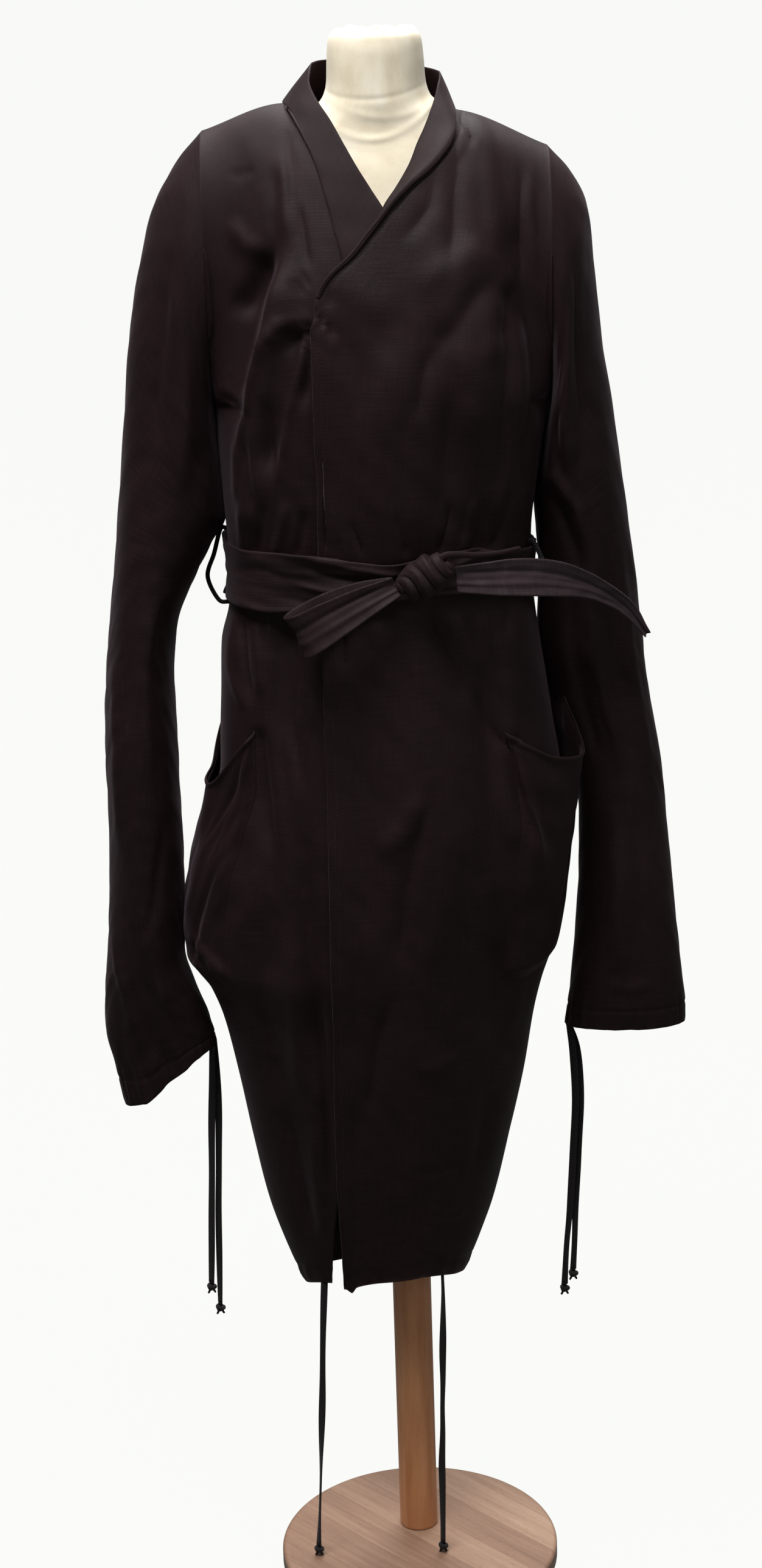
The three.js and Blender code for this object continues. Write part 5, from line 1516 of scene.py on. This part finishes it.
@dataclass
class Sleeve:
    """A long straight sleeve hanging from its armhole, drawn in at the cuff.

    touching: the ring down to which it lies against the body; pressed: ring and how far its inner side is pushed to
    the body there; tip: x, half-width and drop of the cuff's lowest place.
    """

    name: str
    node: str
    table: Table
    creases: tuple[Crease, ...]
    material: bpy.types.Material
    seed: int
    touching: float
    pressed: tuple[tuple[float, float], ...]
    tip: tuple[float, float, float] = (0.0, 1.0, 0.0)
    thick: float = 1.7
    sides: int = 96
    rings: int = 230
    casing: float = 24.0

    def point(self, angle: Array, ring: Array) -> Array:
        """Point of the plain sleeve: an ellipse whose long axis leans from the outer to the inner point."""
        read = self.table.read
        outer = np.stack([read("outer_x", ring), read("outer_z", ring)], -1)
        inner = np.stack([read("inner_x", ring), read("inner_z", ring)], -1)
        flat = (outer + inner) / 2 + (outer - inner) / 2 * np.cos(angle)[..., None]
        y = read("y", ring) - read("deep", ring) * np.sin(angle)
        at, wide, drop = self.tip
        last = len(self.table.by) - 1
        z = flat[..., 1] - drop * bell(flat[..., 0] - at, wide) * smooth(last - 2.5, last, ring)
        press = np.interp(ring, *np.array(self.pressed, float).T) * ((1 - np.cos(angle)) / 2) ** 1.5
        return np.stack([flat[..., 0] - np.sign(outer[..., 0]) * press, y, z], -1)

    def build(self) -> None:
        """Makes the sleeve: folds are raised by angle (in degrees) and by length down from the shoulder."""
        last = len(self.table.by) - 1
        ring = np.linspace(0, last, self.rings)
        angle = round_angles(self.sides)
        angle, ring = np.broadcast_arrays(angle[None, :], ring[:, None])
        plain_point = self.point(angle, ring)
        middle = plain_point.mean(1)
        down = lengths_along(middle)
        total = down[-1]
        down = np.repeat(down[:, None], self.sides, 1)
        degrees = np.degrees(angle)
        height = np.zeros(down.shape)
        for shift in (-360, 0, 360):
            for crease in self.creases:
                height += crease.raised(degrees + shift, down)
        turn = (np.cos(angle) * 60, np.sin(angle) * 60)
        height = RELIEF * height + 1.6 * waves(turn[0] + down * 0.3, turn[1], self.seed, 60, 160)
        height += 0.5 * waves(turn[0] * 1.7, turn[1] * 1.7 + down, self.seed + 1, 24, 60)
        up = total - down
        in_casing = smooth(0, 6, up) * (1 - smooth(self.casing - 6, self.casing + 30, up))
        ripple = 0.7 * np.sin(angle * 21 + 1.5 * np.sin(angle * 3)) + 0.4 * np.sin(angle * 34 + 1)
        height += 1.0 * ripple * in_casing - 0.9 * bell(up - self.casing, 2)
        height *= smooth(0, 26, down)
        inner = 1 - smooth(35, 75, np.abs(degrees - 180))
        height *= 1 - 0.92 * inner * (1 - smooth(self.touching - 0.6, self.touching + 0.6, ring))
        out = grid_normals(plain_point, True)
        centre = np.repeat(middle[:, None], self.sides, 1)
        if np.sum(out * (plain_point - centre)) < 0:
            out = -out
        point = plain_point + out * height[..., None]
        normal = facing(grid_normals(point, True), out)
        normal[0] = unit(normal[0] * [0, 1, 1])
        nodes = (f"{self.node}_upper", f"{self.node}_lower", f"{self.node}_cuff")
        piece = dress(shell(self.name, point, normal, self.thick, True), self.material, "linen", *nodes)


@dataclass
class Neckband:
    """Double band sewn to the neckline: it laps the panels' edges, then stands round the neck."""

    material: bpy.types.Material
    thick: float = 1.9

    def build(self) -> None:
        """Works out the band's four lines at its control rows, then makes them finer by cubic curves."""
        steps = 2
        at = np.arange(steps * (len(BAND.by) - 1) + 1) / steps
        lower, upper = np.floor(at).astype(int), np.ceil(at).astype(int)
        sides = np.minimum(BAND.values["side"][lower], BAND.values["side"][upper])
        lying = np.minimum(BAND.values["lies"][lower], BAND.values["lies"][upper]) > 0
        rows = []
        for place, side_number, lies in zip(at, sides, lying):
            rows.append(self.row(float(place), Side(int(side_number)), bool(lies)))
        rows = np.array(rows)
        seam = rows[:, 1:2]
        rows = seam + (rows - seam) * (1 - 0.55 * smooth(12.8, 15.5, at))[:, None, None]
        points = refined_grid(np.concatenate([rows, self.welt()]), 270, 22)
        normal = grid_normals(points)
        away = points - np.stack(
            [np.full(points.shape[:2], NECK_X), np.full(points.shape[:2], AXIS_Y), points[..., 2] - 25], -1
        )
        normal = facing(normal, away)
        across = np.linspace(0, 1, points.shape[1])[None, :]
        along = arc_lengths(points, 0)
        roll = 0.7 * np.sin(math.pi * across) + 0.5 * waves(along, across * 30, 5, 30, 90)
        piece = shell("neck_band", points + normal * (CLOTH + roll)[..., None], normal, self.thick)
        dress(piece, self.material, "linen", "neckband")

    @staticmethod
    def welt() -> Array:
        """The band's end: a narrow welt that runs on down the slanting edge of the wrap."""
        z = np.array([1640.0, 1622, 1604, 1586, 1572, 1562])
        turn, row = place_of(Side.FRONT, OVER_EDGE.read("x", z), z)
        point, normal = cloth(Side.FRONT, OVER_CREASES, turn, row)
        sink = np.linspace(0.4, 3.0, len(z))
        edge = point + normal * (LAP_LIFT - sink + over_lift(turn, row) + SEAM)[:, None]
        ahead = unit(np.gradient(edge, axis=0))
        off = unit(np.cross(ahead, normal))
        off = np.where((off[:, :1] > 0), -off, off)
        reach = np.array([[-3.4, -1.0, 0.3, 1.6]]) * np.linspace(1, 0.6, len(z))[:, None]
        return edge[:, None] + off[:, None] * reach[..., None]

    @staticmethod
    def row(place: float, side: Side, lies: bool) -> Array:
        """Four points across the band: its lap on the panel, the seam, half way up, and its free edge."""
        seam_x, seam_z = (float(BAND.read(key, place)) for key in ("seam_x", "seam_z"))
        if side is Side.BACK:
            seam_z = float(top_edge(side, np.array((seam_x - MIDDLE_X) / HALF_X))[2])
        over = side is Side.FRONT and seam_x > 0
        creases = OVER_CREASES if over else UNDER_CREASES
        creases = creases if side is Side.FRONT else BACK_CREASES
        turn, row = place_of(side, seam_x, seam_z)
        point, normal = cloth(side, creases, turn, row)
        lift = LAP_LIFT + (float(over_lift(turn, row)) + SEAM if over else 0.0)
        free = np.array([float(BAND.read(key, place)) for key in ("free_x", "free_y", "free_z")])
        if lies:
            lying, lying_normal = cloth(side, creases, *place_of(side, free[0], free[2]))
            free = lying + lying_normal * lift
        edge = point + normal * lift
        downhill = edge - free
        downhill = unit(downhill - np.dot(downhill, normal) * normal)
        foot = edge - downhill
        corner = max(math.exp(-(((place - at) / 0.8) ** 2)) for at in (5, 11))
        return np.array([edge + downhill * BAND_LAP * (1 - 0.85 * corner), foot, (foot + free) / 2, free])


@dataclass
class Belt:
    """Sash of doubled linen round the waist, tied in a half bow: knot, one loop and one long tail."""

    material: bpy.types.Material
    # the tail's linen, painted lighter: a painted highlight
    painted_highlight: bpy.types.Material
    string: bpy.types.Material
    thick: float = 2.0
    knot_at: tuple[float, float, float] = (36.0, -107.2, 1268.0)

    def wrinkles(self) -> tuple[Crease, ...]:
        """Creases of the sash by x at the front and by height."""
        return folds(
            ((-96, 1282), (-70, 1268), (-30, 1258), (6, 1262), 4.2, -3.4, END, 1.6),
            ((-130, 1288), (-90, 1290), (-40, 1276), (6, 1270), 5.0, 2.8, END, 1.7),
            ((-116, 1262), (-72, 1250), (-30, 1248), (8, 1256), 3.6, 2.6, END, 1.6),
            ((-150, 1240), (-100, 1238), (-60, 1230), (0, 1246), 4.6, -2.0, END, 1.6),
            ((-172, 1262), (-130, 1268), (-96, 1262), 4.0, -1.6),
            ((-176, 1226), (-130, 1220), (-90, 1224), 4.0, 1.4),
            ((70, 1262), (110, 1270), (150, 1258), 4.0, -2.4, START, 1.6),
            ((70, 1274), (110, 1282), (146, 1270), 4.0, 2.0, START, 1.6),
            ((72, 1250), (112, 1254), (150, 1246), 3.6, 1.8, START, 1.6),
        )

    def build(self) -> None:
        """Makes the sash and its bow."""
        self.sash()
        self.knot()
        self.ribbon("bow_loop", "belt_bow_loop", BOW_LOOP, 130, 3.0)
        self.ribbon("bow_tail", "belt_tail", BOW_TAIL, 120, 2.6)
        self.loose_end()
        self.carriers()

    def sash(self) -> None:
        """The sash: a ring of places round the body, each with its height from the table, off the coat's cloth."""
        half_round, levels = 170, 30
        parts = []
        for side in (Side.FRONT, Side.BACK):
            turn = np.linspace(-1, 1, half_round, endpoint=False) * -side
            across = np.sin(turn * HALF_TURN)
            name = half_name(side)
            low = BELT.read(name + "_bottom", across)[None, :]
            high = BELT.read(name + "_top", across)[None, :]
            z = low + (high - low) * np.linspace(0, 1, levels)[:, None]
            middle, half, _ = section(z)
            x = middle + half * across[None, :]
            at, row = place_of(side, x, z)
            point, normal = cloth(side, (), at, row)
            lift = BELT_LIFT + CLOTH + np.zeros(x.shape)
            share = np.linspace(0, 1, levels)[:, None]
            if side is Side.FRONT:
                lift = lift + smooth(-0.85, -0.45, at) * over_lift(at, row)
                lift = lift + sum(crease.raised(x, z) for crease in self.wrinkles())
            else:
                lift = lift + 1.2 * np.sin(share * math.pi * 2 + x / 40)
            lift = lift + 0.8 * waves(x * 0.5, z * 2.2, 21 + side, 24, 70) - 0.7 * bell(share - 0.5, 0.2)
            parts.append((point + normal * lift[..., None], normal))
        point = np.concatenate([part[0] for part in parts], 1)
        normal = np.concatenate([part[1] for part in parts], 1)
        piece = dress(shell("sash", point, normal, self.thick, True), self.material, "belt_linen", "belt")

    def knot(self) -> None:
        """The knot: an oval lump whose surface is ridged by the slanting turns of the folded sash.

        A turn's ridge is the rounded profile |sin| of the distance along the knot plus a slant by the angle round it.
        """
        x0, y0, z0 = self.knot_at
        long, round_ = 140, 160
        t = np.linspace(0.004, 0.996, long)[:, None]
        angle = round_angles(round_)[None, :]
        body = np.sin(math.pi * t) ** 0.62
        slant = t * 3.9 + 0.95 * np.cos(angle) + 0.10 * np.sin(2 * angle + 1)
        ridge = np.abs(np.sin(math.pi * slant)) ** 0.55
        fine = 0.5 * np.abs(np.sin(2 * math.pi * slant + 1.2))
        reach = body * (0.70 + 0.28 * ridge + 0.07 * fine)
        x = x0 + 32 * (-1 + 2 * t) + 5.0 * reach * np.cos(angle)
        y = y0 + 18 * reach * -np.sin(angle)
        z = z0 + 26 * reach * np.cos(angle) + 4.5 * (t - 0.5) * 2
        x, y, z = np.broadcast_arrays(x, y, z)
        rings = np.stack([x, y, z], -1)
        piece = dress(lofted("bow_knot", rings), self.material, "belt_linen", "belt_knot")

    def ribbon(
        self, name: str, node: str, table: Table, rows: int, cup: float
    ) -> None:
        """A loose length of the sash: a middle line with a width vector, cupped across, with lengthwise creases."""
        keys = ("x", "y", "z", "wide_x", "wide_y", "wide_z")
        values = np.stack([table.values[key] for key in keys], 1)
        fine = refined(values, np.linspace(0, len(values) - 1, rows))
        middle, wide = fine[:, None, :3], fine[:, None, 3:]
        across = np.linspace(-1, 1, 26)[None, :, None]
        point = middle + wide * across
        normal = grid_normals(point)
        if np.sum(normal[: rows // 3, :, 1]) > 0:
            normal = -normal
        share = np.linspace(0, 1, rows)[:, None]
        side = across[..., 0]
        bend = cup * (side**2 - 0.4)
        crease = -1.5 * bell(side - 0.25 + 0.5 * (share - 0.5), 0.14) * smooth(0, 0.1, share)
        crease += 1.3 * bell(side + 0.35, 0.16) * (1 - smooth(0.5, 0.9, share))
        uneven = 0.6 * waves(share * 240, side * 26, len(node), 20, 70)
        point = point + normal * (bend + crease + uneven + self.thick / 2)[..., None]
        normal = facing(grid_normals(point), normal)
        # The tail gets the linen painted lighter, a painted highlight; the loop keeps the sash's linen.
        finish = self.painted_highlight if name == "bow_tail" else self.material
        piece = dress(shell(name, point, normal, self.thick), finish, "belt_linen", node)

    def loose_end(self) -> None:
        """The sash's other end, a narrow fold that rises out of the knot and runs back under the tail."""
        line = np.array(
            [(44, -112, 1280), (56, -112, 1291), (70, -110, 1292),
             (92, -104, 1289), (116, -97, 1289), (138, -88, 1291)],
            float,
        )
        path = spline(line, 3.0)
        t = np.linspace(0, 1, len(path))
        rings = tube_rings(path, 1.0, 16)
        offset = rings - path[:, None]
        size = (4.2 - 1.6 * t)[:, None, None]
        offset = offset * size * np.array([1.0, 0.45, 1.0])
        piece = dress(lofted("bow_fold", path[:, None] + offset), self.material, "belt_linen")

    def carriers(self) -> None:
        """Two loops of cord sewn to the side seams, which the sash runs through."""
        for name, turn in (("carrier_right", -1.0), ("carrier_left", 0.8)):
            across = math.sin(turn * HALF_TURN)
            top = float(BELT.read("front_top", across))
            bottom = float(BELT.read("front_bottom", across))
            route = []
            span = top - bottom
            spots = ((top + 6, 0.0), (top + 6, 7), (top - 0.3 * span, 17), (bottom + 0.28 * span, 26),
                     (bottom - 8, 12), (bottom - 9, 0.0))
            for z, out in spots:
                middle, half, _ = section(np.array(z))
                at, row = place_of(Side.FRONT, float(middle + half * across), z)
                point, normal = cloth(Side.FRONT, OVER_CREASES if turn > 0 else UNDER_CREASES, at, row)
                route.append(point + normal * (out + (float(over_lift(at, row)) if turn > 0 else 0)))
            path = spline(np.array(route), 2.5)
            dress(tube(name, path, 2.5, 12), self.string, "string", "belt_" + name)


@dataclass
class Pocket:
    """A pocket bag on the hip: it lies on the coat, sags, and hangs open at its rolled mouth."""

    name: str
    node: str
    table: Table
    rest: float
    creases: tuple[Crease, ...]
    panel: str
    panel_creases: str
    material: bpy.types.Material
    thread: bpy.types.Material
    thick: float = 1.6
    fade: float = 16.0

    def build(self) -> None:
        """Makes the bag: it follows the panel's folds, is sewn down into the panel and ends in a rolled rim."""
        levels = np.linspace(0, 1, 96)
        lines = [self.line(float(place), levels) for place in np.linspace(0, len(self.table.by) - 1, 110)]
        point, normal, lift = (np.stack([line[k] for line in lines], 1) for k in range(3))
        up = arc_lengths(point, 0)
        above = up - up[:1]
        up = up - up[-1:]
        across = arc_lengths(point, 1)
        across = across - across[:, :1]
        from_end = across[:, -1:] - across
        sewn = smooth(0, self.fade, across) * smooth(0, self.fade, from_end) * smooth(0, self.fade, above)
        rim = 1.5 * bell(up + 3.0, 2.6) - 0.5 * bell(up + 9, 2.4)
        fine = sum(crease.raised(across, up) for crease in self.creases) + np.zeros(point.shape[:2])
        fine = RELIEF * fine + 1.1 * waves(across, up, len(self.name), 30, 90)
        held = smooth(0, 6, across) * smooth(0, 6, from_end)
        height = 0.25 + sewn * (CLOTH + self.rest + fine) + held * rim * smooth(0, self.fade, above) + lift
        point = point + normal * height[..., None]
        normal = facing(grid_normals(point), normal)
        piece = dress(shell(self.name, point, normal, self.thick), self.material, "linen", self.node)
        self.tacks(point, normal)

    def line(self, place: float, levels: Array) -> tuple[Array, Array, Array]:
        """The panel's outer face up the bag at one place round the hip, its normals, and the bag's distance off."""
        near, further = int(math.floor(place)), int(math.ceil(place))
        rounds = self.table.values["round"]
        round_ = float(rounds[near] + (rounds[further] - rounds[near]) * (place - near))
        side = Side.FRONT if abs(round_) <= 1 else Side.BACK
        turn = round_ if side is Side.FRONT else 2 * math.copysign(1, round_) - round_
        rim = float(self.table.read("rim", place))
        z = POCKET_BOTTOM + (rim - POCKET_BOTTOM) * levels
        middle, half, _ = section(z)
        at, row = place_of(side, middle + half * math.sin(turn * HALF_TURN), z)
        point, normal = cloth(side, CREASES[self.panel_creases] if side is Side.FRONT else BACK_CREASES, at, row)
        under = smooth(-0.2, 0.2, at) * over_lift(at, row) if side is Side.FRONT else 0.0
        return point, normal, under + float(self.table.read("open", place)) * levels**3

    def tacks(self, point: Array, normal: Array) -> None:
        """A bar of close stitches at each end of the mouth."""
        for end, column in (("front", 1), ("back", point.shape[1] - 2)):
            top, out = point[-3, column], normal[-3, column]
            line = top + (point[-14, column] - top) * np.linspace(0, 1, 12)[:, None]
            stitch_row(f"{self.name}_tack_{end}", line, np.repeat(out[None], 12, 0), self.thread)


@dataclass
class Stand:
    """The dress form in cream jersey, gathered on the neck's top, with its beech pole and foot."""

    jersey: bpy.types.Material
    foot_wood: bpy.types.Material
    pole_wood: bpy.types.Material
    foot_radius: float = 168.0
    foot_thickness: float = 24.0
    foot_edge: float = 5.0
    pole_radius: float = 23.0
    pole_sides: int = 96
    foot_sides: int = 180

    def build(self) -> None:
        """Makes the form, the pole and the foot."""
        self.form()
        self.pole()
        self.foot()

    def form(self) -> None:
        """Level oval rings; small folds arch round the neck's root, and the top is gathered to a knot.

        The top closes as a dome whose radius falls with r = sqrt(1 - s * s), ridged by folds running to its middle.
        """
        z = np.concatenate([np.linspace(985, 1700, 110), np.linspace(1703, 1815, 90)])
        sides = 144
        angle = round_angles(sides)
        rings = [self.ring(height, angle, 1.0) for height in z]
        for share in np.linspace(0.08, 0.985, 26):
            rings.append(self.dome(float(share), angle))
        points = np.array(rings)
        fold = np.zeros(points.shape[:2])
        front = np.sin(angle)[None, :] < 0
        x, height = points[..., 0], points[..., 2]
        for low, drop, slant, width, high in (
            (1741, 25, 4, 4.2, 1.3), (1755, 17, -5, 4.6, 0.8), (1730, 31, 6, 4.6, -1.0), (1766, 9, 3, 3.4, -0.5),
        ):
            arch = low - drop * (1 - (x / 56) ** 2) + slant * x / 50
            share = 0.75 + 0.5 * waves(x, height * 0, int(low), 40, 110)
            fold += np.where(front & (height < 1800), share * high * bell(height - arch, width), 0)
        fold += 0.5 * waves(angle[None, :] * 60, height, 31, 30, 90)
        fold *= smooth(1690, 1720, height) * (1 - smooth(1790, 1806, height))
        out = unit((points - [0, AXIS_Y, 0]) * [1, 1, 0])
        points = points + out * fold[..., None]
        piece = lofted("form_jersey", points)
        dress(piece, self.jersey, "jersey", "dress_form")

    @staticmethod
    def ring(height: float, angle: Array, share: float) -> Array:
        """Level ring of the form at a height."""
        near = height + np.linspace(-9, 9, 9) * min(1.0, max(0.0, (1808 - height) / 20))
        half, front, back = (float(FORM.read(key, near).mean()) * share for key in ("half", "front", "back"))
        deep = np.where(np.sin(angle) < 0, front, back)
        return np.stack([half * np.cos(angle), AXIS_Y + deep * np.sin(angle), np.full_like(angle, height)], 1)

    @staticmethod
    def dome(share: float, angle: Array) -> Array:
        """Ring of the gathered top: it rises to a rounded rim, then sinks to a twisted knot of cloth."""
        reach = 1 - share**1.5
        rim = 1815 + 10.0 * math.sin(min(1.0, share / 0.35) * math.pi / 2) - 5.5 * smooth(0.3, 0.85, share)
        rim += 5.0 * smooth(0.80, 0.97, share)
        gathers = np.sin(angle * 9 + 4 * share + 1.3 * np.sin(angle * 2)) + 0.6 * np.sin(angle * 17 - 5 * share + 2)
        depth = 1.7 * smooth(0.12, 0.4, share) * (1 - 0.4 * share)
        z = rim + depth * gathers + 1.5 * np.sin(angle * 3 + 1) * smooth(0.2, 0.5, share)
        wave = 1 + 0.06 * np.sin(angle * 5 + 2) * smooth(0.3, 0.7, share)
        x = 49 * reach * wave * np.cos(angle)
        y = AXIS_Y + 45.5 * reach * wave * np.sin(angle)
        return np.stack([x, y, z + np.zeros_like(angle)], 1)

    def pole(self) -> None:
        """The turned pole."""
        z = np.array([24.3, 24.6, 27, 500, 981, 984.2, 984.7])
        shrink = np.array([0.8, 0, 0, 0, 0, 0, 0.8])
        angle = round_angles(self.pole_sides)
        radius = (self.pole_radius - shrink)[:, None]
        x, y = radius * np.cos(angle), AXIS_Y + radius * np.sin(angle)
        rings = np.stack([x, y, np.repeat(z[:, None], self.pole_sides, 1)], -1)
        dress(lofted("stand_pole", rings), self.pole_wood, "beech", "pole")

    def foot(self) -> None:
        """The turned foot: a disc whose upper and lower edges are quarter rounds."""
        turn = np.linspace(0, HALF_TURN, 9)
        edge = self.foot_edge
        inner = self.foot_radius - edge
        low = np.stack([inner + edge * np.sin(turn), edge - edge * np.cos(turn)], 1)
        high = np.stack([inner + edge * np.cos(turn), self.foot_thickness - edge + edge * np.sin(turn)], 1)
        flat_low = np.array([[60.0, 0.0], [inner - 2, 0.0]])
        flat_high = np.array([[inner - 2, self.foot_thickness], [60.0, self.foot_thickness]])
        outline = np.concatenate([flat_low, low, high, flat_high])
        angle = round_angles(self.foot_sides)
        radius, height = outline[:, :1], np.repeat(outline[:, 1:], self.foot_sides, 1)
        rings = np.stack([radius * np.cos(angle), radius * np.sin(angle), height], -1)
        dress(lofted("stand_foot", rings), self.foot_wood, "beech", "foot")


@dataclass
class Studio:
    """Pale seamless floor, soft light from above the front, and the camera."""

    camera_at: tuple[float, float, float] = (-0.018, -3.247, 2.094)
    pitch: float = 18.6
    roll: float = -1.83
    focal_pixels: float = 5007.0
    long_side: float = 2576.0

    def camera(self) -> None:
        """Camera looking along +Y, tipped down and rolled a little."""
        data = bpy.data.cameras.new("camera")
        data.sensor_width = 36.0
        data.lens = 36.0 * self.focal_pixels / self.long_side
        data.clip_end = 200.0
        camera = bpy.data.objects.new("camera", data)
        down, roll = math.radians(self.pitch), math.radians(self.roll)
        right = np.array([1.0, 0.0, 0.0])
        ahead = np.array([0.0, math.cos(down), -math.sin(down)])
        up = np.cross(right, ahead)
        leaned = right * math.cos(roll) + up * math.sin(roll)
        upright = up * math.cos(roll) - right * math.sin(roll)
        columns = np.eye(4)
        columns[:3, 0], columns[:3, 1], columns[:3, 2], columns[:3, 3] = leaned, upright, -ahead, self.camera_at
        camera.matrix_world = Matrix(columns.tolist())
        bpy.context.scene.collection.objects.link(camera)
        bpy.context.scene.camera = camera

    def light(self, name: str, at: tuple[float, float, float], size: float, power: float) -> None:
        """Square soft light aimed at the coat's chest."""
        data = bpy.data.lights.new(name, "AREA")
        data.energy, data.size = power, size
        lamp = bpy.data.objects.new(name, data)
        place = np.array(at)
        back = unit(place - np.array([0.0, 0.0, 1.1]))
        right = unit(np.cross([0.0, 0.0, 1.0], back))
        columns = np.eye(4)
        columns[:3, 0], columns[:3, 1], columns[:3, 2], columns[:3, 3] = right, np.cross(back, right), back, place
        lamp.matrix_world = Matrix(columns.tolist())
        bpy.context.scene.collection.objects.link(lamp)

    def build(self) -> None:
        """Makes the floor, the lights and the world."""
        n = Nodes("paper backdrop")
        grain = n.noise(n.add("ShaderNodeTexCoord").outputs["Object"], 3.0, 2)
        n.feed(n.shader, {"Base Color": n.ramp(grain, ((0.0, "#1a1a19"), (1.0, "#1d1d1c"))), "Roughness": 1.0})
        n.feed(n.shader, {"Emission Color": linear("#fafbf8"), "Emission Strength": 0.985, "Specular IOR Level": 0.0})
        size = 60000.0
        corners = np.array([(-size, -size, 0), (size, -size, 0), (size, size, 0), (-size, size, 0)], float)
        floor = new_mesh("floor", corners, np.array([[0, 1, 2, 3]]))
        floor.data.materials.append(n.material)
        floor.visible_diffuse = False
        floor.visible_glossy = False
        self.light("key", (-0.7, -1.2, 4.9), 1.8, 225)
        self.light("fill", (2.4, -3.2, 2.6), 2.4, 16)
        self.light("back", (0.2, 1.6, 4.4), 2.2, 190)
        scene = bpy.context.scene
        world = bpy.data.worlds.new("world")
        world.use_nodes = True
        world.node_tree.nodes["Background"].inputs[0].default_value = linear("#fafbf8")
        world.node_tree.nodes["Background"].inputs[1].default_value = 0.16
        scene.world = world
        scene.view_settings.view_transform = "Standard"


def main() -> None:
    """Builds the camera and cords first, then the coat and its stand."""
    logging.basicConfig(level=logging.INFO, format="%(message)s")
    linen, sash, thread = COAT_LINEN.build(), BELT_LINEN.build(), STITCH.build()
    string = Braid().build()
    studio = Studio()
    studio.camera()
    Drawstrings(string).build()
    panels = Panels(linen, thread)
    panels.back()
    panels.under()
    panels.over()
    Sleeve(
        "right_sleeve", "sleeve_right", SLEEVE_RIGHT, RIGHT_SLEEVE_CREASES, linen, 41, 5.6, PRESSED_RIGHT,
        (-300.0, 24.0, 10.0),
    ).build()
    Sleeve("left_sleeve", "sleeve_left", SLEEVE_LEFT, LEFT_SLEEVE_CREASES, linen, 51, 6.6, PRESSED_LEFT).build()
    Neckband(linen).build()
    Belt(sash, TAIL_LINEN_PAINTED_LIGHTER.build(), string).build()
    Pocket(
        "right_pocket", "pocket_right", POCKET_RIGHT, 1.5, RIGHT_POCKET_CREASES, "right_front_panel", "under", linen,
        thread,
    ).build()
    Pocket(
        "left_pocket", "pocket_left", POCKET_LEFT, 2.1, LEFT_POCKET_CREASES, "left_front_panel", "over", linen,
        thread,
    ).build()
    Stand(
        Jersey().build(),
        Beech("beech boards", 0.047, -47.0, FOOT_TONES).build(),
        Beech("beech pole", 0.5, 0.0, POLE_TONES, True).build(),
    ).build()
    studio.build()


if __name__ == "__main__":
    main()
